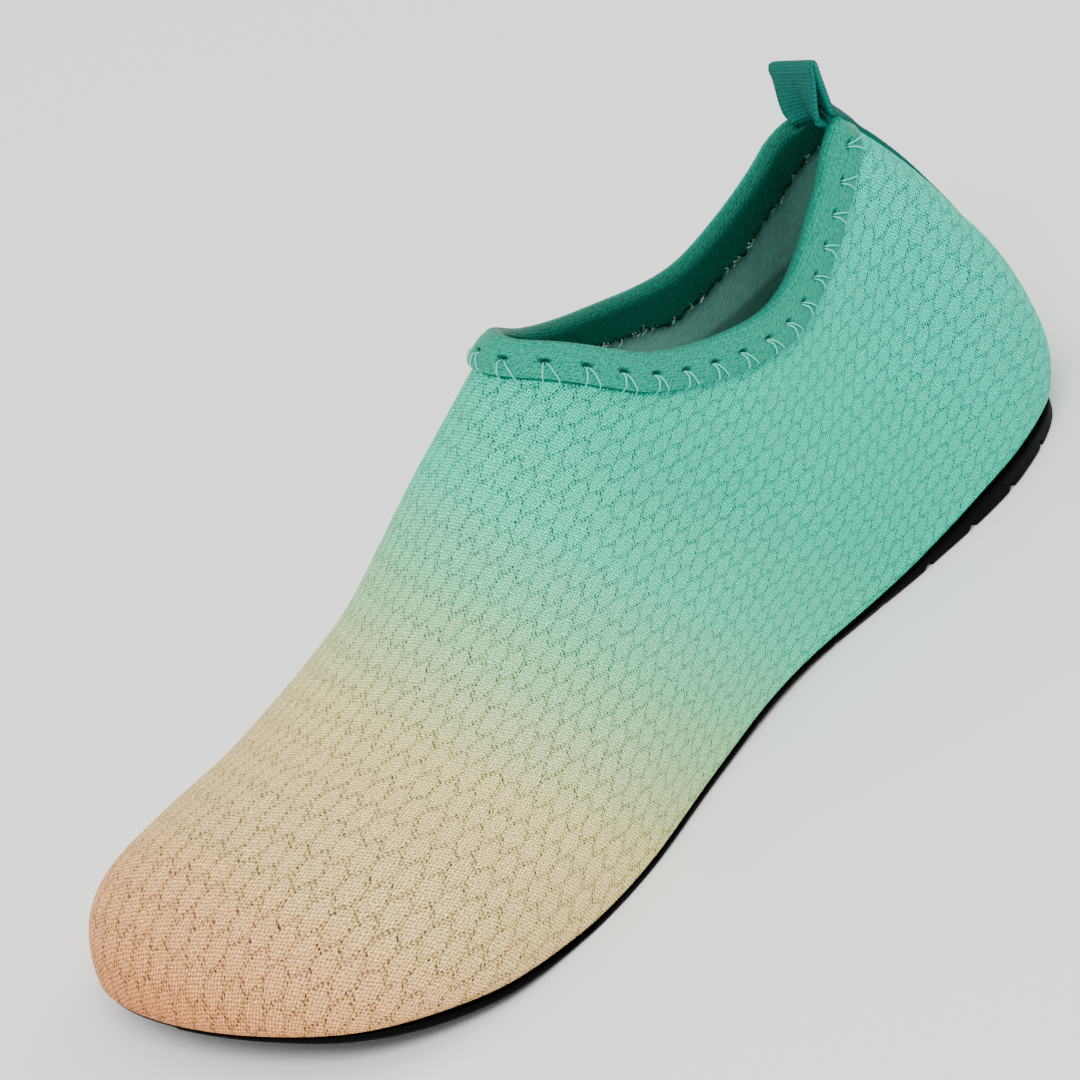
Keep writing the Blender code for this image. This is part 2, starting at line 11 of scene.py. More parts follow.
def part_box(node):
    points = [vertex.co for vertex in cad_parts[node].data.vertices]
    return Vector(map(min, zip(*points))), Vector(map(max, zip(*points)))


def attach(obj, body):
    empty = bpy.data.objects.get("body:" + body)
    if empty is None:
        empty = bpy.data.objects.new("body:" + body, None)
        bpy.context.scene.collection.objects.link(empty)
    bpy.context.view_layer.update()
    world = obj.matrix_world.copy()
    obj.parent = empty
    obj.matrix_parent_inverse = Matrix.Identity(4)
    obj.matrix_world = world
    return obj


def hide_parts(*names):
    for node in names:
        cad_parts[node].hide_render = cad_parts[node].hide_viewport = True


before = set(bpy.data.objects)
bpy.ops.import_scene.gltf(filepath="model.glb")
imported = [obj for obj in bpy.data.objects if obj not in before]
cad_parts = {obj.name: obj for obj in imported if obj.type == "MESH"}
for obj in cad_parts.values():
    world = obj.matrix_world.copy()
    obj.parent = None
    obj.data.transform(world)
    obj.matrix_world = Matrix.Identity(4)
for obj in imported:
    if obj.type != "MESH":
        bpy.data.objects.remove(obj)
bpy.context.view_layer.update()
print("frame loaded")

# The photo's angle, from the shoe's outer side and a little from the front
cameraView = {
    "azimuth": 49.63,
    "elevation": 29.11,
    "roll": -18.12,
    "distance": 2.5889,
    "target": (-0.00352, -0.00517, 0.04157),
    "lens": 451.6,
    "sensor": 36,
    "farthest": 20,
}


def addObject(name, data):
    made = bpy.data.objects.new(name, data)
    bpy.context.scene.collection.objects.link(made)
    return made


def addCamera():
    azimuth, elevation, roll = (math.radians(cameraView[key]) for key in ("azimuth", "elevation", "roll"))
    level = math.cos(elevation)
    back = Vector((math.sin(azimuth) * level, -math.cos(azimuth) * level, math.sin(elevation)))
    right = Vector((0, 0, 1)).cross(back).normalized()
    up = back.cross(right)
    across = right * math.cos(roll) + up * math.sin(roll)
    upwards = up * math.cos(roll) - right * math.sin(roll)
    data = bpy.data.cameras.new("camera")
    data.sensor_fit = "HORIZONTAL"
    data.sensor_width = cameraView["sensor"]
    data.lens = cameraView["lens"]
    data.clip_end = cameraView["farthest"]
    camera = addObject("camera", data)
    turn = Matrix((across, upwards, back)).transposed().to_4x4()
    camera.matrix_world = Matrix.Translation(Vector(cameraView["target"]) + back * cameraView["distance"]) @ turn
    bpy.context.scene.camera = camera


# Each light: where it stands, its size and power; all look at the shoe
lights = {
    "key": {"at": (0.75, -0.85, 1.30), "size": 0.9, "power": 25.0},
    "fill": {"at": (-1.1, -0.5, 0.8), "size": 1.1, "power": 6.0},
    "back": {"at": (0.3, 1.2, 1.0), "size": 0.9, "power": 8.0},
}
lightsAim = Vector((0, 0, 0.03))
surroundings = {"Color": (1, 1, 1, 1), "Strength": 0.9}


def addLights():
    for name, light in lights.items():
        data = bpy.data.lights.new(name, "AREA")
        data.shape = "DISK"
        data.size = light["size"]
        data.energy = light["power"]
        aim = (lightsAim - Vector(light["at"])).to_track_quat("-Z", "Y").to_matrix().to_4x4()
        addObject(name, data).matrix_world = Matrix.Translation(light["at"]) @ aim
    world = bpy.data.worlds.new("studio")
    bpy.context.scene.world = world
    world.use_nodes = True
    for name, value in surroundings.items():
        world.node_tree.nodes["Background"].inputs[name].default_value = value


def hexColour(text):
    values = [int(text[i : i + 2], 16) / 255 for i in (1, 3, 5)]
    return tuple(v / 12.92 if v <= 0.04045 else ((v + 0.055) / 1.055) ** 2.4 for v in values) + (1,)


# Adds a node and returns one of its outputs, the first if none is named. A word after its kind is its
# operation. Its inputs, in order or by name, are values or other nodes' outputs.
def addNode(tree, kind, *values, output=0, settings=None, **named):
    kind, _, operation = kind.partition(" ")
    node = tree.nodes.new("ShaderNode" + kind)
    if operation:
        node.operation = operation
    for name, value in (settings or {}).items():
        setattr(node, name, value)
    for place, value in [*enumerate(values), *named.items()]:
        if isinstance(value, bpy.types.NodeSocket):
            tree.links.new(value, node.inputs[place])
        else:
            node.inputs[place].default_value = value
    return node.outputs[output]


# A new material, and the function that adds nodes to it
def newMaterial(name, roughness, ior, specular=0.5):
    material = bpy.data.materials.new(name)
    material.use_nodes = True
    inputs = material.node_tree.nodes["Principled BSDF"].inputs
    for key, value in (("Roughness", roughness), ("IOR", ior), ("Specular IOR Level", specular)):
        inputs[key].default_value = value
    return material, partial(addNode, material.node_tree)


# Gives a material its colour, times a shade, and a relief of a depth in metres
def finishMaterial(material, add, colour, shade, relief=None, depth=0.0, strength=1.0, roughness=None):
    colour = hexColour(colour)[:3] if isinstance(colour, str) else colour
    outputs = {"Base Color": add("VectorMath SCALE", colour, Scale=shade), "Roughness": roughness}
    if relief is not None:
        outputs["Normal"] = add("Bump", Height=relief, Distance=depth, Strength=strength)
    for name, output in outputs.items():
        if output is not None:
            material.node_tree.links.new(output, material.node_tree.nodes["Principled BSDF"].inputs[name])
    return material


noiseSpan = (0.32, 0.68)  # most of a noise's values lie between these
softSteps = {"interpolation_type": "SMOOTHSTEP"}


# Soft flecks of a given size, each a value between two
def flecked(add, place, size, low, high, stretch=(1, 1, 1), detail=1.5):
    scaled = add("Mapping", place, Scale=[factor / size for factor in stretch])
    return add("MapRange", add("TexNoise", scaled, Scale=1.0, Detail=detail, Roughness=0.55), *noiseSpan, low, high)


# Two crossed waves of given pitches, multiplied
def crossedWaves(add, place, pitches):
    scaled = add("VectorMath MULTIPLY", place, [2 * math.pi / pitch for pitch in pitches] + [0])
    across, up, _ = add("SeparateXYZ", scaled).node.outputs
    return add("Math MULTIPLY", add("Math SINE", across), add("Math SINE", up))


# Where a place is on its flat cloth, in millimetres
def clothPlace(add):
    return add("Mapping", add("UVMap", settings={"uv_map": "cloth"}), Scale=(1000, 1000, 1))


def turnedBy(add, place, degrees):
    return add("Mapping", place, Rotation=(0, 0, math.radians(degrees)))


# Stretch polyester knit, dyed in one long blend: peach at the toe, sand and mint at the waist, turquoise
# at the heel. Matt, with a faint silky gloss, slanted loops and long cells outlined by rows of pinholes.
# Lengths are in mm, except for the blend's, and angles in degrees.
knitLook = {
    "blendAxis": (0.3, 1.0, 0.9),  # the blend runs heelwards, upwards and a little outwards
    "blendSpan": (-0.125, 0.145),
    "blend": [
        (0.00, "#da854a"),
        (0.10, "#f7b270"),
        (0.20, "#f7ce89"),
        (0.29, "#f7d991"),
        (0.36, "#efe396"),
        (0.43, "#c6e9a1"),
        (0.51, "#84e9ac"),
        (0.60, "#40e6b8"),
        (0.70, "#12d8b2"),
        (0.82, "#00dab6"),
        (1.00, "#00dcbb"),
    ],
    "cell": (12.0, 4.1),  # a cell's length and width, in two staggered rows
    "cellEnds": (1.25, 0.75),  # how its slanted ends run, for a hexagon that meets the next row's
    "turn": -12.0,  # from the foot's line
    "waver": (0.55, 0.9),  # how often per mm and how far the outlines waver
    "lineAside": 0.22,  # from a cell's edge to the line of pinholes on either side of it
    "lineSpan": (0.033, 0.264),  # a pinhole's full depth reaches the first, and its edge the second
    "holePitch": 0.84,
    "holeSpan": (-0.7, 0.7, 0.15, 1.0),  # sets how round the pinholes are along the line
    "closed": (0.9, 0.35, 1.2),  # some pinholes are closed by the loops beside them
    "slant": 32.0,  # how loops and pinholes lean to the cells
    # painted shade in the pinholes
    "holePaintedShade": 0.20,
    "loopSize": (1.02, 0.80),  # near twice the real loops, which are too fine to show
    "loopDrift": (0.9, 0.8),  # how often per mm and how far the loops sit out of line
    "loopShade": (0.30, 1.52),
    "strokeSize": 0.40,
    "strokeShade": (0.62, 1.30),
    "relief": 0.28,
}


def makeKnit():
    look = knitLook
    material, add = newMaterial("stretchKnit", 0.62, 1.5, specular=0.12)
    along = add("VectorMath DOT_PRODUCT", add("TexCoord", output="Object"), look["blendAxis"], output="Value")
    blend = add("ValToRGB", add("MapRange", along, *look["blendSpan"]))
    stops = blend.node.color_ramp.elements
    for share, _ in look["blend"][1:-1]:
        stops.new(share)
    for stop, (_, colour) in zip(stops, look["blend"]):
        stop.color = hexColour(colour)

    turned = turnedBy(add, clothPlace(add), look["turn"])
    leaning = turnedBy(add, turned, -look["slant"])
    holes = cellHoles(add, turned, leaning)
    scale, reach = look["loopDrift"]
    drift = add("TexNoise", leaning, Scale=scale, Detail=1.0, output="Color")
    place = add("VectorMath MULTIPLY_ADD", drift, (reach, reach, 0), leaning)
    loops = add("Math MULTIPLY_ADD", crossedWaves(add, place, look["loopSize"]), 0.5, 0.5)
    strokes = flecked(add, leaning, look["strokeSize"], *look["strokeShade"], stretch=(0.7, 1, 1), detail=1.0)
    shade = add("Math MULTIPLY", strokes, add("MapRange", loops, 0, 1, *look["loopShade"]))
    # the pinholes get painted shade
    shade = add("Math MULTIPLY", shade, add("Math MULTIPLY_ADD", holes, look["holePaintedShade"] - 1, 1.0))
    raised = add("Math SUBTRACT", add("Math MULTIPLY_ADD", strokes, 0.5, loops), holes)
    return finishMaterial(material, add, blend, shade, raised, look["relief"] / 1000, 0.7)


# How far a place is from the middle of its long cell, 0.5 on the outline
def cellEdge(add, place):
    nearest = []
    for shift in (0.0, 0.5):
        scaled = add("Mapping", place, Location=(shift, shift, 0), Scale=[1 / size for size in knitLook["cell"]] + [1])
        centred = add("VectorMath SUBTRACT", add("VectorMath FRACTION", scaled), (0.5, 0.5, 0))
        u, v, _ = add("SeparateXYZ", add("VectorMath ABSOLUTE", centred)).node.outputs
        end, side = knitLook["cellEnds"]
        slanted = add("Math MULTIPLY_ADD", u, end, add("Math MULTIPLY", v, side))
        nearest.append(add("Math MAXIMUM", v, slanted))
    return add("Math MINIMUM", *nearest)


# Pinholes in a row on either side of each cell's outline
def cellHoles(add, turned, leaning):
    look = knitLook
    scale, reach = look["waver"]
    waver = add("TexNoise", turned, Scale=scale, Detail=1.0, output="Color")
    waver = add("VectorMath SUBTRACT", waver, (0.5, 0.5, 0.5))
    place = add("VectorMath MULTIPLY_ADD", waver, (reach, reach, 0), turned)
    inward = add("Math MULTIPLY", add("Math SUBTRACT", 0.5, cellEdge(add, place)), look["cell"][1])
    aside = add("Math ABSOLUTE", add("Math SUBTRACT", inward, look["lineAside"]))
    line = add("MapRange", aside, *look["lineSpan"], 1.0, 0.0, settings=softSteps)
    beads = add("Math SINE", add("Math MULTIPLY", add("SeparateXYZ", leaning), 2 * math.pi / look["holePitch"]))
    beads = add("MapRange", beads, *look["holeSpan"])
    return add("Math MULTIPLY", add("Math MULTIPLY", line, beads), flecked(add, turned, *look["closed"], detail=0.0))


# Brushed tricot lining: grey green, quite matt, with a short soft nap. Its lengths are in mm.
liningLook = {"colour": "#7fc4b7", "nap": (0.55, 0.80, 1.12), "clouds": (6.0, 0.92, 1.06), "relief": 0.0002}


def makeLining():
    look = liningLook
    material, add = newMaterial("brushedTricot", 0.9, 1.45)
    place = clothPlace(add)
    nap = flecked(add, place, *look["nap"], stretch=(0.5, 1, 1), detail=3.0)
    shade = add("Math MULTIPLY", nap, flecked(add, place, *look["clouds"]))
    return finishMaterial(material, add, look["colour"], shade, nap, look["relief"])


# Satin weave polyester tape: bright turquoise, with a soft gloss broken by fine slanted threads. Painted shade
# darkens it in the stitches' pits and on the side turned in, inside the collar. Its lengths are in mm.
satinLook = {
    "colour": "#009277",
    "twill": (0.92, 0.80),  # twice the real threads' pitches, which would not show
    "twillTurn": 38.0,
    "floats": (0.42, 0.0, 1.0),
    "threadSpan": (-0.3, 1.3),
    "threadShade": (0.40, 1.50),
    "pitShape": (1.15, 0.50),  # half the pit's width and height
    "pitRaise": 0.15,
    "pitSpan": (0.45, 1.5),
    # painted shade in the stitches' pits, where the hem dips
    "pitShade": 0.16,
    "insideFrom": (7.4, 9.4),  # from the outer hem, over the fold
    # painted shade on the side turned in, inside the collar
    "insidePaintedShade": 0.40,
    "relief": 0.00016,
}


def makeSatin(pitch):
    look = satinLook
    material, add = newMaterial("satinWeaveTape", 0.42, 1.5, specular=0.12)
    place = clothPlace(add)
    turned = turnedBy(add, place, look["twillTurn"])
    floats = flecked(add, turned, *look["floats"], stretch=(0.5, 1, 1))
    threads = add("Math MULTIPLY_ADD", crossedWaves(add, turned, look["twill"]), 0.35, floats)
    shade = add("MapRange", threads, *look["threadSpan"], *look["threadShade"])

    around, up, _ = add("SeparateXYZ", place).node.outputs
    pitHeight = (band["outside"] - band["stitchAt"]) * 1000 + look["pitRaise"]
    fromPit = add("Math SUBTRACT", add("Math MODULO", around, pitch * 1000), pitch * 500)
    fromPit = fromPit, add("Math SUBTRACT", up, pitHeight)
    away = add("CombineXYZ", *(add("Math DIVIDE", part, size) for part, size in zip(fromPit, look["pitShape"])))
    away = add("VectorMath LENGTH", away, output="Value")
    # painted shade in the stitches' pits
    pit = add("MapRange", away, *look["pitSpan"], look["pitShade"], 1.0, settings=softSteps)
    # painted shade on the side turned in, inside the collar
    paintedInsideShade = add("MapRange", up, *look["insideFrom"], 1.0, look["insidePaintedShade"])
    shade = add("Math MULTIPLY", add("Math MULTIPLY", shade, pit), paintedInsideShade)
    return finishMaterial(material, add, look["colour"], shade, threads, look["relief"], 0.8)


# Twisted polyester thread: pale aqua with a slight gloss, its twist just breaking the highlight. The hem's
# stitches are glossier than the loose yarn of the raw edge.
threadLooks = {
    "polyesterThread": {"colour": "#5fe3cb", "roughness": 0.5},
    "looseYarn": {"colour": "#b5ded3", "roughness": 0.7},
}
threadTwist = {"size": 0.00030, "shade": (0.85, 1.08), "relief": 0.00005}


def makeThread(name):
    look = threadLooks[name]
    material, add = newMaterial(name, look["roughness"], 1.53)
    twist = flecked(add, add("TexCoord", output="Object"), threadTwist["size"], *threadTwist["shade"])
    return finishMaterial(material, add, look["colour"], twist, twist, threadTwist["relief"])


# Grosgrain webbing of dull polyester: dark teal, ribbed across, with fine threads showing between the ribs
webbingLook = {
    "colour": "#00776a",
    "threadPitch": 0.42,
    "threads": (0.07, 0.4),  # how far the threads shade it, and stand out
    "flecks": (0.35, 0.78, 1.15),
    "ribSpan": (-1.0, 0.2),
    # painted shade in the valleys between the ribs
    "valleyPaintedShade": 0.55,
    "relief": 0.00010,
}


def makeGrosgrain():
    look = webbingLook
    material, add = newMaterial("grosgrainWebbing", 0.58, 1.5, specular=0.15)
    place = clothPlace(add)
    across, along, _ = add("SeparateXYZ", place).node.outputs
    ribs = add("Math COSINE", add("Math MULTIPLY", along, 2 * math.pi / (webbing["ribPitch"] * 1000)))
    # painted shade in the valleys between the ribs
    paintedValleyShade = add("MapRange", ribs, *look["ribSpan"], look["valleyPaintedShade"], 1.0)
    threads = add("Math SINE", add("Math MULTIPLY", across, 2 * math.pi / look["threadPitch"]))
    flecks = flecked(add, place, *look["flecks"])
    shade, raised = (add("Math MULTIPLY_ADD", threads, share, flecks) for share in look["threads"])
    return finishMaterial(material, add, look["colour"], add("Math MULTIPLY", shade, paintedValleyShade), raised, look["relief"])


# Moulded synthetic rubber: near black and matt, with a fine spark-eroded grain from the mould
rubberLook = {
    "colour": "#030303",
    "grain": 0.00045,
    "scuffSize": 0.012,
    "scuffShade": (0.8, 1.35),
    "roughness": (0.50, 0.68),
    "relief": 0.00006,
}


def makeRubber():
    look = rubberLook
    material, add = newMaterial("mouldedRubber", 0.6, 1.4, specular=0.06)
    place = add("TexCoord", output="Object")
    grain = flecked(add, place, look["grain"], 0.0, 1.0, detail=2.0)
    scuffs = flecked(add, place, look["scuffSize"], *look["scuffShade"], detail=4.0)
    gloss = add("MapRange", scuffs, *look["scuffShade"], *look["roughness"])
    return finishMaterial(material, add, look["colour"], scuffs, grain, look["relief"], roughness=gloss)


# Plain woven polyester over the insole's foam: dull teal grey, with a fine square weave
insoleLook = {
    "colour": "#5f8f86",
    "weave": 0.00070,
    "weaveShade": 0.10,
    "flecks": (0.0006, 0.85, 1.1),
    "relief": 0.00012,
}


def makeInsoleCloth():
    look = insoleLook
    material, add = newMaterial("wovenInsoleCloth", 0.88, 1.45)
    place = add("TexCoord", output="Object")
    weave = crossedWaves(add, place, [look["weave"]] * 2)
    shade = add("Math MULTIPLY_ADD", weave, look["weaveShade"], flecked(add, place, *look["flecks"]))
    return finishMaterial(material, add, look["colour"], shade, weave, look["relief"])


# Painted studio board: pale, smooth and matt
boardLook = {"colour": "#fbfbfa", "flecks": (0.4, 0.995, 1.0)}


def makeFloorBoard():
    material, add = newMaterial("paintedBoard", 0.9, 1.5)
    flecks = flecked(add, add("TexCoord", output="Object"), *boardLook["flecks"])
    return finishMaterial(material, add, boardLook["colour"], flecks)


# The last's form, as the solids have it. Places are side (plus is outer), along (0 at the heel) and height.
form = {
    "soleLength": 0.250,
    "ballWidth": 0.092,
    "instepHeight": 0.085,
    "heelHeight": 0.075,
    "toeSpring": 0.0082,
    "archRise": 0.0008,
    "heelBevel": 0.0015,
    "bulge": 0.0025,
    "bulgeHeight": 0.038,
    "soleThickness": 0.0034,
    "soleLip": 0.0006,
    "soleEdgeRound": 0.0006,
    "upperWall": 0.0012,
    "featherRound": 0.0020,
    "marginWidth": 0.0065,
    "gap": 0.0003,
    "gridCell": 0.002,
}

# The sole's outline: shares of the sole's length and of the ball's width
outlinePoints = [
    (0.000, 0.000), (0.035, 0.220), (0.120, 0.330), (0.250, 0.363), (0.400, 0.360), (0.540, 0.428),
    (0.660, 0.511), (0.760, 0.538), (0.860, 0.520), (0.945, 0.390), (0.985, 0.170), (0.995, -0.080),
    (0.977, -0.270), (0.925, -0.405), (0.840, -0.465), (0.730, -0.472), (0.600, -0.400), (0.460, -0.310),
    (0.320, -0.290), (0.200, -0.325), (0.100, -0.310), (0.030, -0.190),
]

# Sections across the foot: along, crown, edge power, arch power, bulge, sole thickness
sections = np.array([
    (0.00, 1.221, 1.54, 1.85, 0.88, 0.95),
    (0.14, 1.264, 0.80, 1.10, 1.27, 1.28),
    (0.25, 1.245, 1.25, 0.90, 1.08, 1.18),
    (0.35, 1.115, 1.67, 1.53, 0.96, 1.00),
    (0.45, 1.053, 1.87, 1.74, 0.93, 0.86),
    (0.55, 0.868, 2.00, 1.94, 0.88, 0.86),
    (0.65, 0.629, 1.95, 1.95, 0.79, 0.94),
    (0.75, 0.482, 1.95, 1.94, 0.85, 0.94),
    (0.85, 0.442, 1.97, 2.06, 1.04, 0.97),
    (0.93, 0.424, 2.04, 2.20, 1.00, 1.03),
    (1.00, 0.380, 2.01, 2.12, 0.92, 1.10),
])
sectionColumns = {"crown": 1, "edge": 2, "arch": 3, "bulge": 4, "sole": 5}

# The collar's edge and the heel's back from the side, and which places round the collar belong to which
# round the sole
collarLine = np.array([
    (0.00, 0.958), (0.08, 1.020), (0.16, 0.910), (0.25, 0.813), (0.34, 0.857), (0.42, 0.958), (0.49, 1.113),
    (0.56, 1.126),
])
heelBack = np.array([
    (0.00, 0.0000), (0.13, 0.0150), (0.29, 0.0110), (0.53, 0.0060), (0.80, -0.0148), (1.04, -0.0420),
])
pairings = np.array([(0.00, 0.00), (0.17, 0.28), (0.33, 0.55), (0.52, 0.75), (0.75, 0.88), (1.00, 1.00)])


# A smooth curve through the values at the given places
def smooth(at, places, values):
    slopes = np.gradient(values, places, axis=0)
    i = np.clip(np.searchsorted(places, at) - 1, 0, len(places) - 2)
    step = places[i + 1] - places[i]
    t = np.clip((at - places[i]) / step, 0, 1)
    if values.ndim > 1:
        step, t = step[:, None], t[:, None]
    start = (1 + 2 * t) * (1 - t) ** 2 * values[i] + t * (1 - t) ** 2 * step * slopes[i]
    end = t * t * (3 - 2 * t) * values[i + 1] + t * t * (t - 1) * step * slopes[i + 1]
    return start + end


# The value of a table's column at a place along the sole
def tableAt(along, table, column=1, last=1):
    return smooth(np.clip(along / form["soleLength"], 0, last), table[:, 0], table[:, column])


def sectionValue(along, name):
    return tableAt(along, sections, sectionColumns[name])


def lengthsAlong(points):
    return np.concatenate([[0], np.cumsum(np.linalg.norm(np.diff(points, axis=0), axis=1))])


def pointsAt(line, distances):
    lengths = lengthsAlong(line)
    return np.stack([np.interp(distances, lengths, values) for values in line.T], axis=1)


def evenPoints(line, count):
    return pointsAt(line, np.linspace(0, lengthsAlong(line)[-1], count))


# Evenly spaced places on a smooth closed curve through the corners
def closedCurve(corners, count, steps=24):
    spans = []
    for i in range(len(corners)):
        a, b, c, d = (corners[(i + k) % len(corners)] for k in (-1, 0, 1, 2))
        t1 = np.linalg.norm(b - a) ** 0.5
        t2 = t1 + np.linalg.norm(c - b) ** 0.5
        t3 = t2 + np.linalg.norm(d - c) ** 0.5
        t = np.linspace(t1, t2, steps, endpoint=False)[:, None]
        ab = a + (b - a) * t / t1
        bc = b + (c - b) * (t - t1) / (t2 - t1)
        cd = c + (d - c) * (t - t2) / (t3 - t2)
        abc = ab + (bc - ab) * t / t2
        bcd = bc + (cd - bc) * (t - t1) / (t3 - t1)
        spans.append(abc + (bcd - abc) * (t - t1) / (t2 - t1))
    return evenPoints(np.concatenate(spans + [spans[0][:1]]), count + 1)[:-1]


def outward(outline):
    steps = np.roll(outline, -1, axis=0) - np.roll(outline, 1, axis=0)
    normals = np.stack([steps[:, 1], -steps[:, 0]], axis=1)
    return normals / np.linalg.norm(normals, axis=1)[:, None]


def underside(along):
    share = along / form["soleLength"]
    bevel = form["heelBevel"] * np.clip(1 - share / 0.05, 0, 1) ** 2
    arch = form["archRise"] * np.sin(np.pi * np.clip((share - 0.32) / 0.26, 0, 1)) ** 2
    spring = form["toeSpring"] * np.clip((share - 0.74) / 0.26, 0, None) ** 1.65
    return bevel + arch + spring


def featherHeight(along):
    return underside(along) + form["soleThickness"] * sectionValue(along, "sole")


soleOutline = closedCurve(np.array(outlinePoints)[:, ::-1] * (form["ballWidth"], form["soleLength"]), 480)
feather = soleOutline - outward(soleOutline) * form["soleLip"]


# Half the width at each place along the foot, kept full past the ends so that they stay round
def measureWidths():
    starts, ends = feather, np.roll(feather, -1, axis=0)
    places = np.linspace(0, form["soleLength"], 126)
    widths = []
    for along in places:
        cross = (starts[:, 1] - along) * (ends[:, 1] - along) <= 0
        if cross.sum() < 2:
            widths.append(np.nan)
            continue
        span = ends[cross] - starts[cross]
        side = starts[cross, 0] + (along - starts[cross, 1]) / (span[:, 1] + 1e-12) * span[:, 0]
        widths.append((side.max() - side.min()) / 2)
    widths = np.array(widths)
    share = places / form["soleLength"]
    back, front = share < 0.16, share > 0.78
    widths[back] = widths[~back][0]
    widths[front] = widths[~front][-1] * (1 - 0.15 * (share[front] - 0.78) / 0.22)
    return places, widths


# The distance to the sole's edge over a grid of places, minus outside it
def measureDistances():
    reach, cell = 0.65 * form["ballWidth"], form["gridCell"]
    low = np.array([-reach, -2 * cell])
    counts = np.ceil((np.array([reach, form["soleLength"] + 2 * cell]) - low) / cell).astype(int) + 1
    grid = np.stack(np.meshgrid(*[np.arange(n) * cell for n in counts], indexing="ij"), axis=-1)
    places = (grid + low).reshape(-1, 1, 2)
    starts = feather[::2]
    spans = np.roll(starts, -1, axis=0) - starts
    shares = np.clip(((places - starts) * spans).sum(2) / (spans**2).sum(1), 0, 1)
    away = places - (starts + shares[..., None] * spans)
    distances = np.linalg.norm(away, axis=2)
    nearest = distances.argmin(axis=1)
    rows = np.arange(len(places))
    across = np.stack([spans[nearest, 1], -spans[nearest, 0]], axis=1)
    outside = (away[rows, nearest] * across).sum(1) > 0
    return low, (np.where(outside, -1, 1) * distances[rows, nearest]).reshape(counts)


widthPlaces, halfWidths = measureWidths()
distanceLow, distanceGrid = measureDistances()


# A grid's values between its places, at rows and columns counted from its first
def betweenPlaces(grid, rows, columns):
    rows, columns = (np.clip(part, 0, size - 1.001) for part, size in zip((rows, columns), grid.shape))
    i, j = np.floor(rows).astype(int), np.floor(columns).astype(int)
    u, v = rows % 1, columns % 1
    if grid.ndim > 2:
        u, v = u[..., None], v[..., None]
    low = grid[i, j] * (1 - v) + grid[i, j + 1] * v
    high = grid[i + 1, j] * (1 - v) + grid[i + 1, j + 1] * v
    return low * (1 - u) + high * u


# How far in from the sole's edge a place is
def edgeDistance(side, along):
    cell = form["gridCell"]
    return betweenPlaces(distanceGrid, (side - distanceLow[0]) / cell, (along - distanceLow[1]) / cell)


# The way straight in from the sole's edge
def inward(side, along):
    step = form["gridCell"] / 2
    ways = np.stack([
        edgeDistance(side + step, along) - edgeDistance(side - step, along),
        edgeDistance(side, along + step) - edgeDistance(side, along - step),
    ], axis=-1)
    return ways / np.maximum(np.linalg.norm(ways, axis=-1), 1e-9)[..., None]


# The last's height before its sides are shaped
def lastHeight(side, along):
    share = np.clip(edgeDistance(side, along), 0, None) / np.interp(along, widthPlaces, halfWidths)
    foot = featherHeight(along)
    crown = sectionValue(along, "crown") * form["instepHeight"]
    curve = 1 - (1 - np.clip(share, 0, 1)) ** sectionValue(along, "edge")
    return foot + (crown - foot) * curve ** (1 / sectionValue(along, "arch"))


# Where the last is as high as the collar, seen from above, found along rays from a place under the ankle
def collarEdge(directions=240, samples=500):
    angles = np.linspace(0, 2 * np.pi, directions, endpoint=False)
    ways = np.stack([np.sin(angles), -np.cos(angles)], axis=1)
    reach = np.linspace(0, 0.75 * form["soleLength"], samples)
    places = np.array([0, 0.27 * form["soleLength"]]) + ways[:, None] * reach[None, :, None]
    side, along = places[..., 0], places[..., 1]
    edge = tableAt(along, collarLine, last=collarLine[-1, 0]) * form["heelHeight"]
    over = lastHeight(side, along) - edge
    last = np.maximum(((over < 0) | (edgeDistance(side, along) <= 0)).argmax(axis=1), 1)
    rows = np.arange(directions)
    before, after = over[rows, last - 1], over[rows, last]
    share = np.clip(before / (before - after + 1e-12), 0, 1)[:, None]
    return places[rows, last - 1] * (1 - share) + places[rows, last] * share


# Leans the heel's back and swells the sides
def shapeLast(points):
    side, along, height = np.moveaxis(points, -1, 0)
    swell = np.sin(np.pi * np.clip((height - featherHeight(along)) / form["bulgeHeight"], 0, 1))
    swell = swell * form["bulge"] * sectionValue(along, "bulge")
    share = np.clip(height / form["heelHeight"], 0, heelBack[-1, 0])
    back = smooth(share, heelBack[:, 0], heelBack[:, 1]) * form["soleLength"]
    back = back * np.clip(1 - along / form["soleLength"] / 0.25, 0, 1) ** 1.5
    shaped = points.copy()
    shaped[..., :2] -= inward(side, along) * swell[..., None]
    shaped[..., 1] -= back
    return shaped


# Shares of the way from heel to toe for columns that go round, and which of them are on the outer side
def edgeShares(columns):
    half = columns // 2
    share = np.concatenate([np.linspace(0, 1, half + 1), np.linspace(1, 0, half + 1)[1:-1]])
    return share, np.arange(columns) <= half


# The outer and the inner side of an outline, both from the heel to the toe
def sidesOf(outline):
    tip = int(outline[:, 1].argmax())
    return outline[: tip + 1], np.concatenate([outline[tip:], outline[:1]])[::-1]


# Places on an outline at shares of the way along its sides
def placesOnSides(outline, shares, outer):
    outline = np.roll(outline, -int(outline[:, 1].argmin()), axis=0)
    found = np.zeros((len(shares), 2))
    for isOuter, half in zip((True, False), sidesOf(outline)):
        chosen = outer == isOuter
        found[chosen] = pointsAt(half, shares[chosen] * lengthsAlong(half)[-1])
    return found


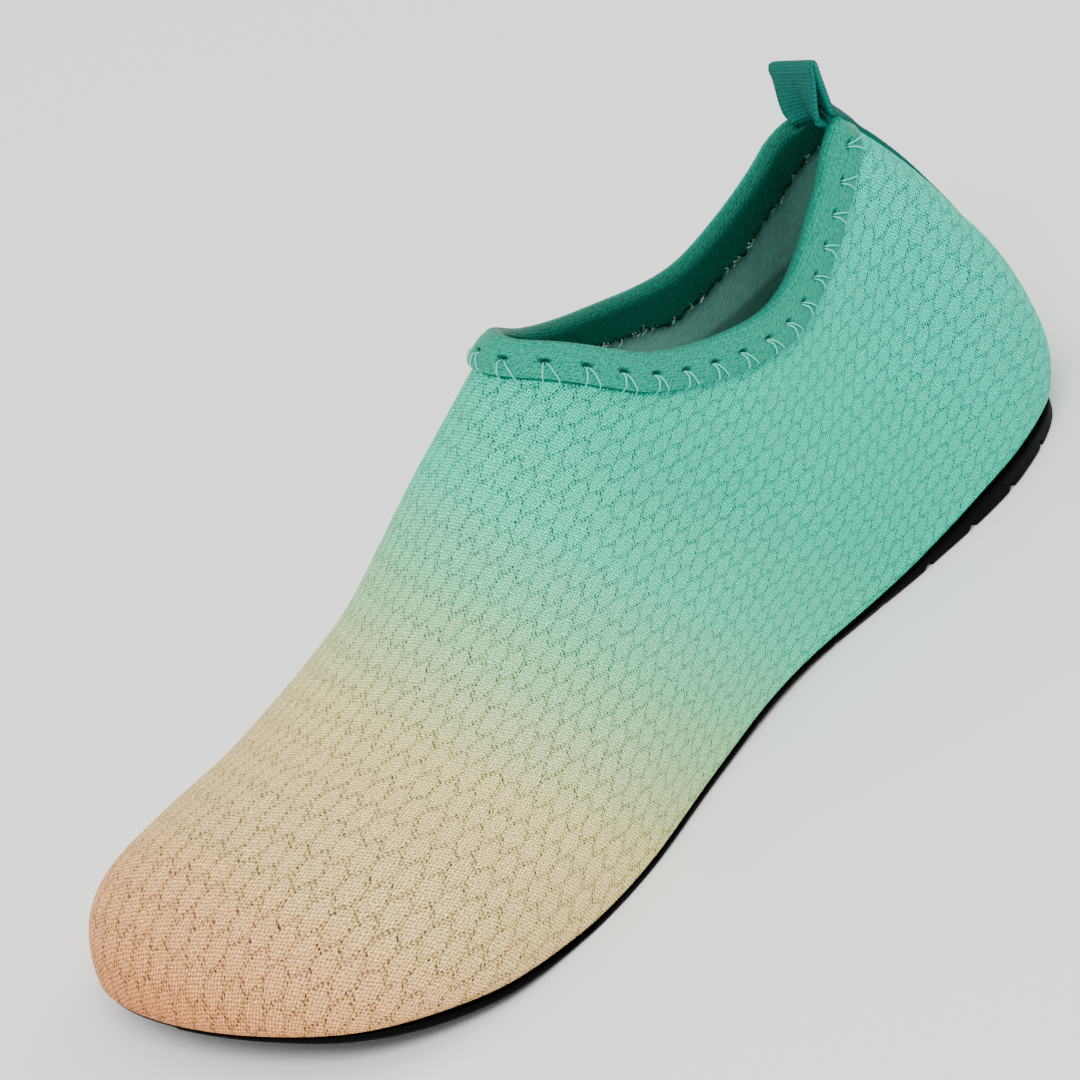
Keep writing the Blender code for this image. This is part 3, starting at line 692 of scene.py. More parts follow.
# Lines up the wall from the sole's edge to the collar: columns, samples and points
def wallLines(columns, samples=120):
    share, outer = edgeShares(columns)
    collarShare = smooth(share, pairings[:, 0], pairings[:, 1])
    feet = placesOnSides(feather, share, outer)
    tops = placesOnSides(collarEdge(), collarShare, outer)
    path = np.linspace(0, 1, samples) ** 2.2
    plan = feet[:, None] + (tops - feet)[:, None] * path[None, :, None]
    height = lastHeight(plan[..., 0], plan[..., 1])
    height[:, 0] = featherHeight(feet[:, 1])
    lines = shapeLast(np.concatenate([plan, height[..., None]], axis=-1))
    return np.stack([evenPoints(line, samples) for line in lines])


def wallNormals(walls):
    around = np.roll(walls, -1, axis=0) - np.roll(walls, 1, axis=0)
    normals = np.cross(around, np.gradient(walls, axis=1))
    return normals / np.linalg.norm(normals, axis=2)[..., None]


# A plan's places at a height over the sole's upper edge
def overSole(plan, height):
    return np.concatenate([plan, (featherHeight(plan[:, 1]) + height)[:, None]], axis=1)


# Each wall line's points and normals at a distance below the collar, or above it where it is minus
def belowCollar(walls, normals, distance):
    found = np.zeros((2, len(walls), 3))
    distances = np.broadcast_to(distance, len(walls))
    for i, (line, normal, at) in enumerate(zip(walls[:, ::-1], normals[:, ::-1], distances)):
        lengths = lengthsAlong(line)
        for k, part in enumerate((line, normal)):
            found[k, i] = [np.interp(max(at, 0), lengths, values) for values in part.T]
        found[0, i] += (line[0] - line[2]) / np.linalg.norm(line[0] - line[2]) * max(-at, 0)
    return found[0], found[1] / np.linalg.norm(found[1], axis=1)[:, None]


# How far the knit's foot reaches down over the sole's edge, and how far the sole draws in under it
footDrop = np.array([
    (0.00, 0.0000), (0.10, 0.0002), (0.16, 0.0003), (0.21, 0.0010), (0.27, 0.0016), (0.38, 0.0020), (0.50, 0.0018),
    (0.62, 0.0019), (0.70, 0.0023), (0.82, 0.0017), (0.90, 0.0014), (0.95, 0.0017), (1.00, 0.0027),
])
drawIn = np.array([
    (0.00, 0.0), (0.18, 0.0), (0.28, 0.0006), (0.50, 0.0008), (0.70, 0.0008), (0.82, 0.0004), (0.90, 0.0006),
    (0.96, 0.0014), (1.00, 0.0018),
])
edgeRound = np.array([(0.00, 0.0006), (0.20, 0.0006), (0.32, 0.0011), (0.70, 0.0011), (0.80, 0.0007), (1.00, 0.0006)])


def dropAt(along):
    return tableAt(along, footDrop)


# The frame's origin is under the middle of the shoe's box, so the sole's own box shows how far that is
soleLow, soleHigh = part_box("outsole")
outlineFrame = np.stack([soleOutline[:, 0], form["soleLength"] / 2 - soleOutline[:, 1]], axis=1)
frameShift = np.append((np.array(soleLow + soleHigh)[:2] - outlineFrame.min(axis=0) - outlineFrame.max(axis=0)) / 2, 0)


def toFrame(points):
    placed = np.array(points, float)
    placed[..., 1] = form["soleLength"] / 2 - placed[..., 1]
    return placed + frameShift


def closedRound(points):
    return np.concatenate([points, points[:, :1]], axis=1)


# A piece from rows and columns of places: a bmesh grid whose vertices move there. If closed, they merge where
# they meet and its faces turn outwards.
def gridPiece(name, points, materials=(), uvs=None, closed=True):
    rows, columns = points.shape[:2]
    mesh = bpy.data.meshes.new(name)
    bm = bmesh.new()
    bmesh.ops.create_grid(bm, x_segments=columns - 1, y_segments=rows - 1, size=1)
    bm.verts.ensure_lookup_table()
    for vertex, place in zip(bm.verts, toFrame(points).reshape(-1, 3)):
        vertex.co = place
    if uvs is not None:
        layer = bm.loops.layers.uv.new("cloth")
        flat = uvs.reshape(-1, 2)
        for face in bm.faces:
            for loop in face.loops:
                loop[layer].uv = flat[loop.vert.index]
    if closed:
        bmesh.ops.remove_doubles(bm, verts=bm.verts, dist=1e-6)
        bmesh.ops.recalc_face_normals(bm, faces=bm.faces)
        if bm.calc_volume(signed=True) < 0:
            bmesh.ops.reverse_faces(bm, faces=bm.faces)
    for face in bm.faces:
        face.smooth = True
    bm.to_mesh(mesh)
    bm.free()
    for material in materials:
        mesh.materials.append(material)
    return addObject(name, mesh)


def addWall(piece, thickness, offset, materialOffset=0):
    solidify = piece.modifiers.new("wall", "SOLIDIFY")
    solidify.thickness = thickness
    solidify.offset = offset
    solidify.use_even_offset = True
    solidify.material_offset = materialOffset
    solidify.material_offset_rim = materialOffset


def placePiece(piece, slot, *nodes):
    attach(piece, "root")
    if nodes:
        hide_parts(*nodes)


upperMesh = {
    "columns": 288,
    "wallRows": 96,
    "cornerSteps": 4,
    "flatColumns": 144,
    "flatRows": 40,
    "clothScale": 0.88,
    "scalePower": 0.6,  # how far the cloth's width follows its scale along the foot
    "heelLean": 3.0,  # how much steeper the cells stand towards the heel
    "footReach": 0.010,
    "footRows": 6,
}


# Lays the wall out flat, as its cloth was cut: where each column and row of it lies on the cloth, in metres.
# U runs from the toe to the heel with 0 at the collar's front, V is 0 on the ridge and plus on the outer side.
def flattenCloth():
    columns, rows = upperMesh["flatColumns"], upperMesh["flatRows"]
    grid = closedRound(np.stack([evenPoints(line, rows) for line in wallLines(columns)], axis=1))
    piece = gridPiece("flatCloth", grid, uvs=np.zeros((rows, columns + 1, 2)), closed=False)
    bpy.context.view_layer.objects.active = piece
    piece.select_set(True)
    bpy.ops.object.mode_set(mode="EDIT")
    bpy.ops.mesh.select_all(action="SELECT")
    bpy.ops.uv.unwrap(method="CONFORMAL", margin=0)
    bpy.ops.object.mode_set(mode="OBJECT")
    found = np.zeros(len(piece.data.loops) * 2, np.float32)
    piece.data.uv_layers["cloth"].data.foreach_get("uv", found)
    corners = np.zeros(len(piece.data.loops), np.int32)
    piece.data.loops.foreach_get("vertex_index", corners)
    flat = np.zeros((rows * (columns + 1), 2))
    flat[corners] = found.reshape(-1, 2)
    flat = flat.reshape(rows, columns + 1, 2)
    bpy.data.meshes.remove(piece.data)

    tip = columns // 2
    across = flat[-1, tip] - flat[0, tip]
    across /= np.linalg.norm(across)
    flat = flat - flat[-1, tip]
    flat = np.stack([flat @ across, flat @ np.array([-across[1], across[0]])], axis=-1)
    if flat[:, tip // 2, 1].mean() < 0:
        flat[..., 1] *= -1
    # the flat shape keeps its angles; this evens out its scale, which is larger at the heel than at the toe
    real = np.linalg.norm(np.diff(grid, axis=1), axis=2)
    drawn = np.linalg.norm(np.diff(flat, axis=1), axis=2)
    places = (flat[:, 1:, 0] + flat[:, :-1, 0]).ravel() / 2
    fit = np.polynomial.Polynomial.fit(places, np.log((real / drawn).ravel()), 3, w=real.ravel())
    line = np.linspace(flat[..., 0].min(), flat[..., 0].max(), 200)
    scale = np.exp(fit(line)) * upperMesh["clothScale"]
    lengths = np.concatenate([[0], np.cumsum((scale[1:] + scale[:-1]) / 2 * np.diff(line))])
    u = np.interp(flat[..., 0], line, lengths - np.interp(0, line, lengths))
    v = flat[..., 1] * np.interp(flat[..., 0], line, scale) ** upperMesh["scalePower"]
    lean = upperMesh["heelLean"] * np.clip(u, 0, None) ** 2
    return np.stack([u, v + np.sign(v) * lean], axis=-1)


def makeUpper(knit, lining):
    columns, radius = upperMesh["columns"], form["featherRound"]
    walls = wallLines(columns)
    feet = walls[:, 0, :2]
    ways = outward(feet)
    turns = np.linspace(0, np.pi / 2, upperMesh["cornerSteps"] + 1)[:-1]
    inset = [(form["marginWidth"], 0)] + [(radius - radius * math.sin(a), radius - radius * math.cos(a)) for a in turns]
    beyond = [math.pi / 2 * radius + form["marginWidth"] - radius] + [(math.pi / 2 - a) * radius for a in turns]
    foot = []
    for inwards, rise in inset:
        plan = feet - ways * inwards
        foot.append(overSole(plan, rise - dropAt(plan[:, 1]) * (inwards < form["marginWidth"])))
    shares = np.linspace(0, 1, upperMesh["wallRows"])
    wall = np.stack([pointsAt(line, radius + (lengthsAlong(line)[-1] - radius) * shares) for line in walls], axis=1)
    low = np.clip(1 - (wall[..., 2] - featherHeight(wall[..., 1]) - radius) / upperMesh["footReach"], 0, 1)
    wall[..., 2] -= dropAt(wall[..., 1]) * low**1.5
    rows = closedRound(np.concatenate([foot, wall]))
    # the cloth runs on round the foot's corner and under it, at the wall's own scale
    flat = flattenCloth()
    across = np.linspace(0, 1, columns + 1) * (flat.shape[1] - 1)
    onWall = betweenPlaces(flat, (shares * (len(flat) - 1))[:, None], across[None])
    first, steps = len(beyond), upperMesh["footRows"]
    spans = np.linalg.norm(rows[first + steps] - rows[first], axis=1)[:, None]
    underFoot = [onWall[0] + (onWall[0] - onWall[steps]) / spans * distance for distance in beyond]
    piece = gridPiece("knitUpper", rows, [knit, lining], uvs=np.concatenate([underFoot, onWall]))
    addWall(piece, form["upperWall"], -1, materialOffset=1)
    placePiece(piece, "knit", "upper")


band = {
    "outside": 0.0064,
    "inside": (0.0095, 0.0052),  # at the heel and at the collar's front
    "wall": 0.0011,
    "columns": 640,
    "stitchPitch": 0.0073,
    "stitchAt": 0.0029,  # below the collar's edge
    "stitchSpread": (0.0032, -0.0007),  # how far each leg's foot is aside of the pit
    "dimple": 0.0010,
    "dimpleShape": (0.0011, 0.0006),
    "puff": 0.0006,
    "legGroove": 0.00025,
    "legWidth": 0.00045,
    "threadRadius": 0.00014,
    "legRise": 0.00025,
    "legSink": 0.0004,
    "frays": 760,
    "frayRadius": 0.00011,
    "frayLength": (0.0005, 0.0017),
    "ragged": 0.0011,  # how far the raw edge inside wanders
    "pressReach": 0.0085,  # how far from the heel's seam the webbing presses it flat
    "press": 0.0013,
}


# The band's run round the collar: its walls, the lengths round it, and the stitches' pitch and number
def bandRun():
    walls = wallLines(band["columns"])
    normals = wallNormals(walls)
    edge, _ = belowCollar(walls, normals, 0)
    around = lengthsAlong(np.concatenate([edge, edge[:1]]))
    count = round(around[-1] / band["stitchPitch"])
    return walls, normals, around, around[-1] / count, count


# How far the band's face stands proud at a distance below the edge and a length round it
def bandRelief(distance, around, pitch):
    fromPit = (around % pitch) - pitch / 2
    aside = np.abs(fromPit)
    cushion = band["puff"] * np.sin(np.pi * np.clip(distance / band["outside"], 0, 1)) ** 0.7
    wide, high = band["dimpleShape"]
    dimple = band["dimple"] * np.exp(-((aside / wide) ** 2) - ((distance - band["stitchAt"]) / high) ** 2)
    down = np.clip((distance - band["stitchAt"]) / (band["outside"] - band["stitchAt"]), 0, 1)
    spread = np.where(fromPit < 0, *band["stitchSpread"]) * down
    leg = band["legGroove"] * np.exp(-(((aside - spread) / band["legWidth"]) ** 2)) * (down > 0)
    return cushion - dimple - leg


# The raw edge inside wanders up and down along the collar, in whole waves round it
def raggedEdge(lengths, total):
    draw = random.Random(5)
    waves = [(k, draw.uniform(0.4, 1.0), draw.random()) for k in (7, 13, 22, 41, 67, 103)]
    wander = sum(size * np.sin(2 * np.pi * (k * lengths / total + start)) for k, size, start in waves) / 3
    heel, front = band["inside"]
    share = np.clip((np.abs(2 * lengths / total - 1) - 0.2) / 0.6, 0, 1)
    return front + (heel - front) * share * share * (3 - 2 * share) + band["ragged"] * wander


def makeBinding(satin, run):
    walls, normals, around, pitch, _ = run
    fromSeam = np.minimum(around[:-1], around[-1] - around[:-1])
    pressed = np.exp(-((fromSeam / band["pressReach"]) ** 2))
    upperWall, gap = form["upperWall"], form["gap"]
    outer = gap + band["wall"] - band["press"] * pressed * 0.7
    inner = upperWall + gap + band["wall"]
    middle = upperWall / 2
    rows = []

    def addRow(distance, offset):
        points, directions = belowCollar(walls, normals, distance)
        rows.append(points + directions * np.broadcast_to(offset, len(points))[:, None])

    # up the outside from the hem, over the edge and down the inside, then back the same way beside the wall
    for distance in np.linspace(band["outside"], 0, 22):
        addRow(distance, outer + bandRelief(distance, around[:-1], pitch) * (1 - pressed))
    for angle in np.radians(np.linspace(0, 180, 13)[1:-1]):
        share = angle / math.pi
        reach = outer * (1 - share) + inner * share - upperWall * share + middle
        addRow(band["press"] * pressed - math.sin(angle) * reach, math.cos(angle) * reach - middle)
    edge = raggedEdge(around[:-1], around[-1])
    for offset, shares in ((inner, np.linspace(0, 1, 9)), (upperWall + gap, np.linspace(1, 0, 4))):
        for share in shares:
            addRow(edge * share, -offset)
    for angle in np.radians([120, 60]):
        addRow(-math.sin(angle) * (gap + middle) - gap, math.cos(angle) * (gap + middle) - middle)
    for distance in np.linspace(0, band["outside"], 4):
        addRow(distance, gap)
    rows.append(rows[0])
    rows = closedRound(np.array(rows))
    lengths = np.array([lengthsAlong(rows[:, 0])]).T
    uvs = np.stack(np.broadcast_arrays(around[None], lengths), axis=-1)
    placePiece(gridPiece("satinBinding", rows, [satin], uvs=uvs), "satin_binding", "collar_binding")


# Places on the wall at lengths round the collar, distances below it and heights over the wall
def onCollar(run, lengths, distances, lifts):
    walls, normals, around, _, _ = run
    columns = np.interp(lengths, around, np.arange(len(around))) % len(walls)
    found = []
    for at, distance, lift in zip(columns, distances, lifts):
        ends = [int(at) % len(walls), (int(at) + 1) % len(walls)]
        points, directions = belowCollar(walls[ends], normals[ends], distance)
        share = at % 1
        found.append((points[0] + directions[0] * lift) * (1 - share) + (points[1] + directions[1] * lift) * share)
    return np.array(found)


# The binding's thin threads as one mesh, swept round from one curve with a spline for each
def addThreads(name, paths, radius, material, sides):
    curve = bpy.data.curves.new(name, "CURVE")
    curve.dimensions = "3D"
    curve.bevel_depth = radius
    curve.bevel_resolution = sides
    curve.use_fill_caps = True
    for path in paths:
        spline = curve.splines.new("POLY")
        spline.points.add(len(path) - 1)
        for point, place in zip(spline.points, toFrame(np.array(path))):
            point.co = (*place, 1)
    source = addObject(name + "Curve", curve)
    bpy.context.view_layer.update()
    mesh = bpy.data.meshes.new_from_object(source.evaluated_get(bpy.context.evaluated_depsgraph_get()))
    bpy.data.objects.remove(source)
    bpy.data.curves.remove(curve)
    for polygon in mesh.polygons:
        polygon.use_smooth = True
    mesh.materials.clear()
    mesh.materials.append(material)
    placePiece(addObject(name, mesh), "satin_binding")


# Zigzag stitches over the hem: from each pit two legs run down to the binding's edge
def makeHemStitches(thread, run):
    _, _, around, pitch, count = run
    paths = []
    outer = form["gap"] + band["wall"]
    for k in range(1, count - 1):
        middle = (k + 0.5) * pitch
        for side, spread in zip((-1, 1), band["stitchSpread"]):
            down = np.linspace(0, 1.0, 7)
            distances = band["stitchAt"] + (band["outside"] - band["stitchAt"] + 0.0003) * down
            lengths = middle + side * (0.0002 + spread * down)
            lifts = outer + bandRelief(distances, lengths, pitch) + band["threadRadius"]
            lifts += band["legRise"] * np.sin(np.pi * down)
            lifts[0] -= band["legSink"]
            lifts[-1] = form["gap"] * 0.5
            paths.append(onCollar(run, lengths, distances, lifts))
    addThreads("hemStitches", paths, band["threadRadius"], thread, sides=2)


# The binding's raw edge inside the collar: short loose thread ends
def makeFrays(thread, run):
    draw = random.Random(11)
    _, _, around, _, _ = run
    paths = []
    for _ in range(band["frays"]):
        start = draw.random() * around[-1]
        length = draw.uniform(*band["frayLength"])
        lean = draw.uniform(-0.9, 0.9)
        down = np.linspace(0, 1, 4)
        distances = raggedEdge(np.array([start]), around[-1]) - 0.0005 + length * down
        lengths = start + lean * length * down + 0.0002 * np.sin(down * draw.uniform(2, 5))
        lifts = -(form["upperWall"] + form["gap"] + band["wall"] * draw.uniform(0.2, 1.1)) + 0.0002 * down
        paths.append(onCollar(run, lengths % around[-1], distances, lifts))
    addThreads("bindingFrays", paths, band["frayRadius"], thread, sides=0)


# The pull loop and the tape down the back seam
webbing = {
    "loopWidth": 0.0115,
    "footWidth": 0.0092,
    "tapeWidth": 0.0050,
    "wall": 0.0009,
    "loopHeight": 0.0106,
    "lean": 0.0015,
    "aside": -0.0013,
    "tilt": 0.18,  # how much higher one side of the loop's top is, per width
    "slit": 0.0005,
    "tuck": 0.0020,
    "tapeFoot": 0.0160,
    "tapeStep": 0.0030,
    "ribPitch": 0.00074,
    "ribHeight": 0.00012,
    "rowStep": 0.00013,
    "across": 13,
}


# A row of the webbing where it lies on the heel's seam
def stripRow(walls, normals, distance, offset, across):
    order = np.arange(-6, 7)
    points, directions = belowCollar(walls[order], normals[order], distance)
    line = points + directions * offset
    return pointsAt(line, across + lengthsAlong(line)[len(order) // 2])


# A row on a loop's leg, at a share of the way from its foot to its head
def legRow(foot, head, share):
    row = foot + (head - foot) * share
    row[:, 0] = foot[:, 0] + (head[:, 0] - foot[:, 0]) * share**0.6
    row[:, 1] = foot[:, 1] + (head[:, 1] - foot[:, 1]) * share * share * (3 - 2 * share)
    return row


# Rows at even steps on a smooth way through the given ones, and how far along each is
def softRows(rows, step):
    lengths = lengthsAlong(rows[:, rows.shape[1] // 2])
    at = np.arange(0, lengths[-1], step)
    return smooth(at, lengths, rows.reshape(len(rows), -1)).reshape(len(at), *rows.shape[1:]), at


def makeWebbing(material):
    walls = wallLines(64)
    normals = wallNormals(walls)
    lift = form["gap"] + webbing["wall"] / 2
    across = np.linspace(-0.5, 0.5, webbing["across"])
    height = lengthsAlong(walls[0])[-1]
    overBinding = form["gap"] + band["wall"] + lift
    tape = height - webbing["tapeFoot"] - band["outside"]
    narrow, wide = webbing["tapeWidth"], webbing["loopWidth"]
    back = [(height - webbing["tapeFoot"] - k * tape / 6, lift, narrow) for k in range(6)]
    pressed = overBinding - band["press"] * 0.7
    back += [
        (band["outside"] + webbing["tapeStep"], lift, narrow),
        (band["outside"] + form["gap"], pressed - 0.0001, narrow * 1.3),
        (band["outside"] * 0.75, pressed, wide * 0.80),
        (band["outside"] * 0.4, pressed, wide * 0.95),
        (0.0003, pressed, wide),
        (-0.0014, pressed * 0.86, wide),
    ]
    # the front leg goes down into the binding's fold, where it is sewn
    fold = -form["upperWall"] - form["gap"] - band["wall"] * 0.4
    tucks = (-overBinding - webbing["wall"], 0, webbing["tuck"] / 2, webbing["tuck"])
    front = [(distance, fold, webbing["footWidth"]) for distance in tucks]
    back, front = (
        [stripRow(walls, normals, distance, offset, across * width) for distance, offset, width in rows]
        for rows in (back, front)
    )
    start, end = back[-1][len(across) // 2], front[0][len(across) // 2]
    radius = (webbing["slit"] + webbing["wall"]) / 2
    top = end[2] + webbing["loopHeight"] - radius
    middle = np.array([webbing["aside"], (start[1] + end[1]) / 2 + webbing["lean"], top])
    turned = [middle + radius * np.array([0, math.sin(a), math.cos(a)]) for a in np.radians([-90, -45, 0, 45, 90])]
    flat = np.stack([across * wide, 0 * across, across * wide * webbing["tilt"]], axis=1)
    shares = (0.12, 0.3, 0.5, 0.7, 0.86)
    rising = [legRow(back[-1], turned[0] + flat, share) for share in shares]
    falling = [legRow(front[0], turned[-1] + flat, share) for share in shares[::-1]]
    rows = np.array(back + rising + [place + flat for place in turned] + falling + front)
    rows, at = softRows(rows, webbing["rowStep"])
    ways = np.cross(np.gradient(rows, axis=0), np.gradient(rows, axis=1))
    ways /= np.linalg.norm(ways, axis=2)[..., None]
    ribs = webbing["ribHeight"] * np.cos(2 * np.pi * at / webbing["ribPitch"])
    rows = rows + ways * ribs[:, None, None] * np.clip((0.5 - np.abs(across)) * 20, 0.2, 1)[None, :, None]
    uvs = np.stack(np.broadcast_arrays(across[None] * wide, at[:, None]), axis=-1)
    piece = gridPiece("webbingLoop", rows, [material], uvs=uvs, closed=False)
    addWall(piece, webbing["wall"], 0)
    placePiece(piece, "webbing", "pull_loop")


insole = {"thickness": 0.0030, "clearance": 0.0026, "round": 0.0008, "columns": 160}


# Each place of an outline that starts at the heel, moved to the line midway between its two sides
def middleLine(outline, ends):
    half = len(outline) // 2
    pairs = np.minimum(np.arange(len(outline)), len(outline) - np.arange(len(outline)))
    pairs = np.clip(pairs, ends, half - ends)
    return (outline[pairs] + outline[-pairs]) / 2


def makeInsole(material):
    feet = wallLines(insole["columns"])[:, 0, :2]
    ways = outward(feet)
    soft = insole["round"]
    edge = feet - ways * insole["clearance"]
    inset = edge - ways * soft
    step = feet - ways * (form["marginWidth"] + 2 * form["gap"])
    middle = middleLine(step, ends=8)
    low = form["upperWall"] + form["gap"]
    top = low + insole["thickness"]
    levels = [(step + (middle - step) * share, top) for share in (1, 0.75, 0.5, 0.25, 0)]
    levels += [((step + inset) / 2, top), (inset, top)]
    levels += [(edge - ways * soft * 0.3, top - soft * 0.3), (edge, top - soft)]
    levels += [(edge, low + soft * 0.5), (edge - ways * soft * 0.5, low), (step, low), (step, 0), (middle, 0)]
    rows = np.array([overSole(plan, level) for plan, level in levels])
    piece = gridPiece("insolePad", closedRound(rows), [material])
    placePiece(piece, "foam", "insole")


tread = {
    "stations": 470,
    "bottom": 124,
    "topShares": [0, 0.004, 0.010, 0.018, 0.028, 0.040, 0.055, 0.075, 0.11, 0.20, 0.35],
    "rowEase": 0.06,
    "columnEase": 0.02,
    "depth": 0.0013,
    "width": 0.0016,
    "draft": 0.0003,
    "pitch": 0.0140,
    "slant": 0.0060,
    "wave": 0.0030,
    "weave": 0.0062,  # how far the two long grooves swing, which makes the blocks nested triangles
    "weaves": ((0.33, 7.5), (0.68, 5.5)),  # each one's place across and its turns
    "weaveSpan": (0.065, 0.89),
    "notches": ((0, 0.22, 0.30, 1), (1, 1, 0.15, 0.0)),  # along the sole, how much of a groove its edge shows
    "edgeFade": (0.0018, 0.0035),  # further on, how far from the edge a groove starts, and is whole
    "rim": 0.0055,
    "rimFade": (0.0028, 0.0012),
    "fineDepth": 0.0008,
    "fineWidth": 0.00085,
    "finePitch": 0.0021,
    "fineFrom": (0.0015, 0.05),  # how far from a groove, and from which share of the sole's length
    "fineDraft": 0.0002,
    "ribPitch": 0.0031,
    "ribWidth": 0.0016,
    "ribDraft": 0.0003,
    "ribWaves": ((0.0016, 0.0042, 0), (0.0008, 0.0017, 1)),  # each one's swing, length over a turn, and start
    "toes": (0.83, 0.965),  # where the ribs across start and end, as shares of the sole's length
    "rimRound": 0.0022,
    "start": 0.045,
    "end": 0.93,
}


# The sole's inner and outer side at places along it
def soleEdges(along):
    outer, inner = sidesOf(soleOutline)
    return np.interp(along, inner[:, 1], inner[:, 0]), np.interp(along, outer[:, 1], outer[:, 0])


# Places along the grooves: those across, from the outer edge to the inner rim, and the two that weave along
def grooveLines():
    lines = []
    length = form["soleLength"]
    for k in range(int((tread["end"] - tread["start"]) * length / tread["pitch"])):
        along = tread["start"] * length + (k + 0.5) * tread["pitch"]
        inner, outer = soleEdges(along)
        t = np.linspace(0, 1, 90)
        side = outer + 0.001 + (inner + tread["rim"] - outer - 0.001) * t
        swing = tread["slant"] * (0.5 - t) + tread["wave"] * np.sin(2 * np.pi * t)
        lines.append(np.stack([side, along + swing], axis=1))
    for place, turns in tread["weaves"]:
        t = np.linspace(0, 1, 700)
        along = (tread["weaveSpan"][0] + (tread["weaveSpan"][1] - tread["weaveSpan"][0]) * t) * length
        inner, outer = soleEdges(along)
        side = inner + tread["rim"] + (outer - inner - tread["rim"]) * place
        side = side + tread["weave"] * np.sin(2 * np.pi * turns * t)
        lines.append(np.stack([side, along], axis=1))
    return np.concatenate(lines)


# How far the tread's face lies up from the flat at each place
def treadRelief(side, along):
    places = np.stack([side, along], axis=-1).reshape(-1, 2)
    lines = grooveLines()
    tree = kdtree.KDTree(len(lines))
    for k, (x, y) in enumerate(lines):
        tree.insert((x, y, 0), k)
    tree.balance()
    away = np.array([tree.find((x, y, 0))[2] for x, y in places]).reshape(side.shape)
    face, root = tread["width"] / 2 + tread["draft"], tread["width"] / 2 - tread["draft"]
    share = along / form["soleLength"]
    fromEdge = edgeDistance(side, along) + form["soleLip"]
    spare = np.interp(share, *tread["notches"])
    clear = spare + (1 - spare) * np.clip((fromEdge - tread["edgeFade"][0]) / tread["edgeFade"][1], 0, 1)
    deep = tread["depth"] * np.clip((face - away) / (face - root), 0, 1) * clear
    # nested outlines inside each block, and wavy ribs across under the toes
    pitch, toes = tread["finePitch"], tread["toes"]
    fine = np.abs(((away - pitch) / pitch) % 1 - 0.5) * pitch
    fineMask = (away > tread["fineFrom"][0]) & (share > tread["fineFrom"][1]) & (share < toes[0])
    waves = sum(swing * np.sin(side / length + start) for swing, length, start in tread["ribWaves"])
    ribs = np.abs(((along + waves) / tread["ribPitch"]) % 1 - 0.5) * tread["ribPitch"]
    ribMask = (share >= toes[0]) & (share < toes[1])
    inner, outer = soleEdges(along)
    fromSide, fade = tread["rimFade"]
    inside = np.clip((side - inner - tread["rim"]) / (fade / 2), 0, 1) * np.clip((fromEdge - fromSide) / fade, 0, 1)
    half, draft = tread["fineWidth"] / 2, tread["fineDraft"]
    shallow = tread["fineDepth"] * np.clip((half + draft - fine) / draft, 0, 1) * fineMask
    ribbed = tread["depth"] * np.clip((tread["ribWidth"] / 2 - ribs) / tread["ribDraft"], 0, 1) * ribMask
    return np.maximum(deep, np.maximum(shallow, ribbed) * inside)


# Draws the edge of the sole in under the knit
def drawnIn(points):
    side, along, _ = np.moveaxis(points, -1, 0)
    near = np.clip(1 - (edgeDistance(side, along) + form["soleLip"]) / 0.006, 0, 1)
    moved = points.copy()
    moved[..., :2] += inward(side, along) * (tableAt(along, drawIn) * near)[..., None]
    return moved


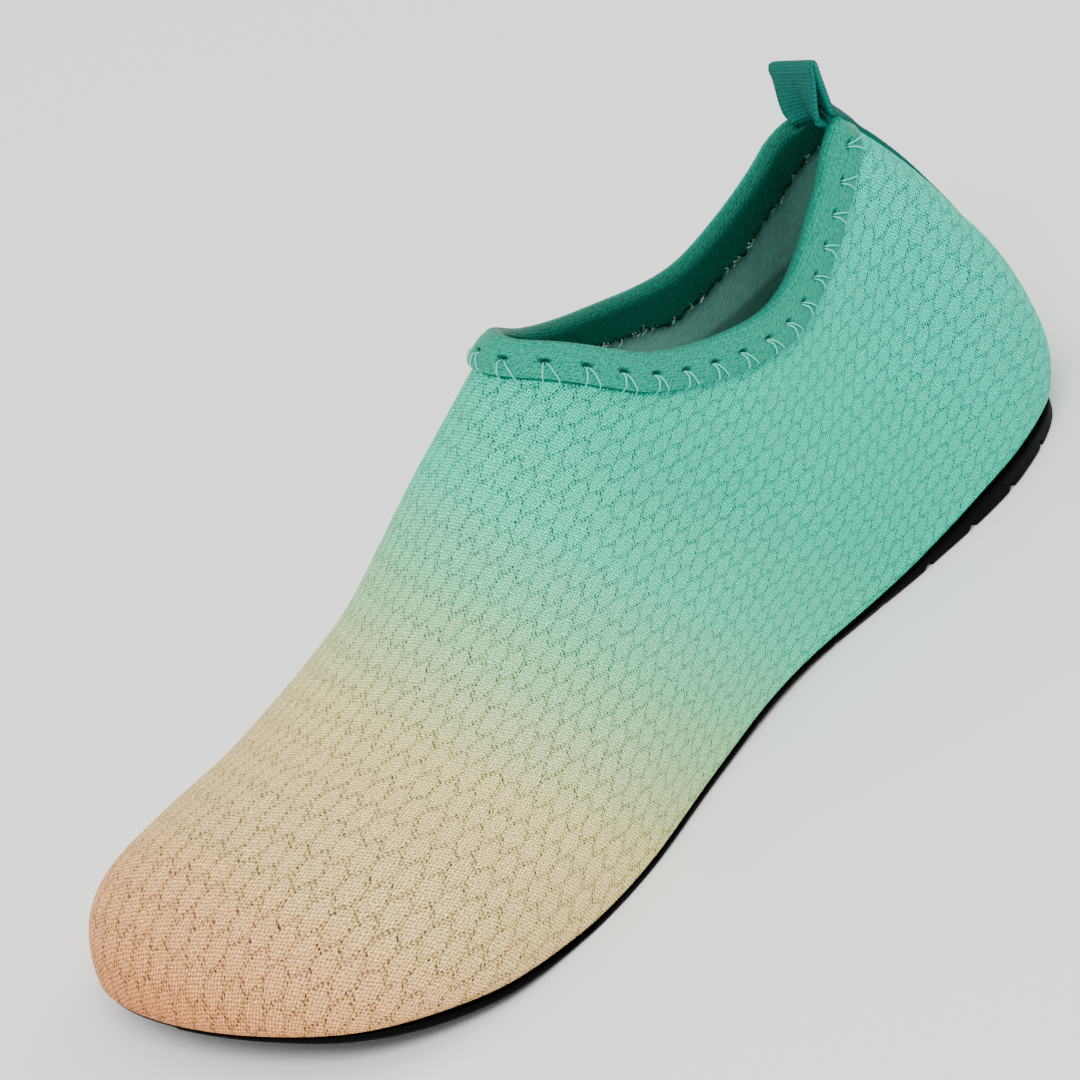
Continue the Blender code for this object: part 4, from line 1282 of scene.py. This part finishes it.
def makeSole(rubber):
    low, high = soleOutline[:, 1].min(), soleOutline[:, 1].max()
    # rows lie closer together at the heel and the toe, and columns at the sides
    t = np.linspace(0, 1, tread["stations"])
    along = low + (high - low) * (t - tread["rowEase"] * np.sin(2 * np.pi * t))
    along[0], along[-1] = low, high
    inner, outer = soleEdges(along)

    # places across the sole at shares from the outer edge to the inner, and how far in they are
    def placesAcross(spread):
        side = outer[:, None] + (inner - outer)[:, None] * spread
        place = np.broadcast_to(along[:, None], side.shape)
        distance = np.maximum(edgeDistance(side, place) + form["soleLip"], 0)
        distance[:, [0, -1]] = 0
        return side, place, distance

    def rounded(distance, radius):
        near = np.clip(1 - distance / radius, 0, 1)
        return radius * (1 - np.sqrt(1 - near**2))

    def edgeStrip(sides, heads, feet):
        heights = heads[:, None] + (feet - heads)[:, None] * np.linspace(0, 1, 6)[1:-1]
        return np.stack(np.broadcast_arrays(sides[:, None], along[:, None], heights), axis=-1)

    spread = np.linspace(0, 1, tread["bottom"])
    spread = spread - tread["columnEase"] * np.sin(2 * np.pi * spread)
    side, place, distance = placesAcross(spread)
    rimShare = np.clip((spread - 0.5) * 6, 0, 1)[None]
    base = underside(place) + treadRelief(side, place)
    softEdge = np.interp(place / form["soleLength"], edgeRound[:, 0], edgeRound[:, 1])
    bottom = base + np.maximum(rounded(distance, softEdge), rounded(distance, tread["rimRound"]) * rimShare)

    fromRim = tread["topShares"]
    topSide, topPlace, topDistance = placesAcross(np.array([1 - share for share in fromRim] + [0.5] + fromRim[::-1]))
    margin = (form["marginWidth"] + form["soleLip"], form["featherRound"] + form["soleLip"])
    nearEdge = np.clip((margin[0] - topDistance) / (margin[0] - margin[1]), 0, 1)
    top = featherHeight(topPlace) - form["gap"] - dropAt(topPlace) * nearEdge
    top = top - rounded(topDistance, form["soleEdgeRound"] * 0.5)
    columns = [
        np.stack([topSide, topPlace, top], axis=-1),
        edgeStrip(outer, top[:, -1], bottom[:, 0]),
        np.stack([side, place, bottom], axis=-1),
        edgeStrip(inner, bottom[:, -1], top[:, 0]),
    ]
    rows = closedRound(drawnIn(np.concatenate(columns, axis=1)))
    placePiece(gridPiece("rubberSole", rows, [rubber]), "outsole_rubber", "outsole")


def makeFloor():
    bm = bmesh.new()
    bmesh.ops.create_grid(bm, x_segments=1, y_segments=1, size=4)
    mesh = bpy.data.meshes.new("floor")
    bm.to_mesh(mesh)
    bm.free()
    mesh.materials.append(makeFloorBoard())
    addObject("floor", mesh)


addCamera()
addLights()
makeFloor()
print("camera, lights and floor")
collarRun = bandRun()
makeUpper(makeKnit(), makeLining())
print("upper")
makeBinding(makeSatin(collarRun[3]), collarRun)
makeHemStitches(makeThread("polyesterThread"), collarRun)
makeFrays(makeThread("looseYarn"), collarRun)
print("binding")
makeWebbing(makeGrosgrain())
makeInsole(makeInsoleCloth())
print("loop and insole")
makeSole(makeRubber())
print("sole")
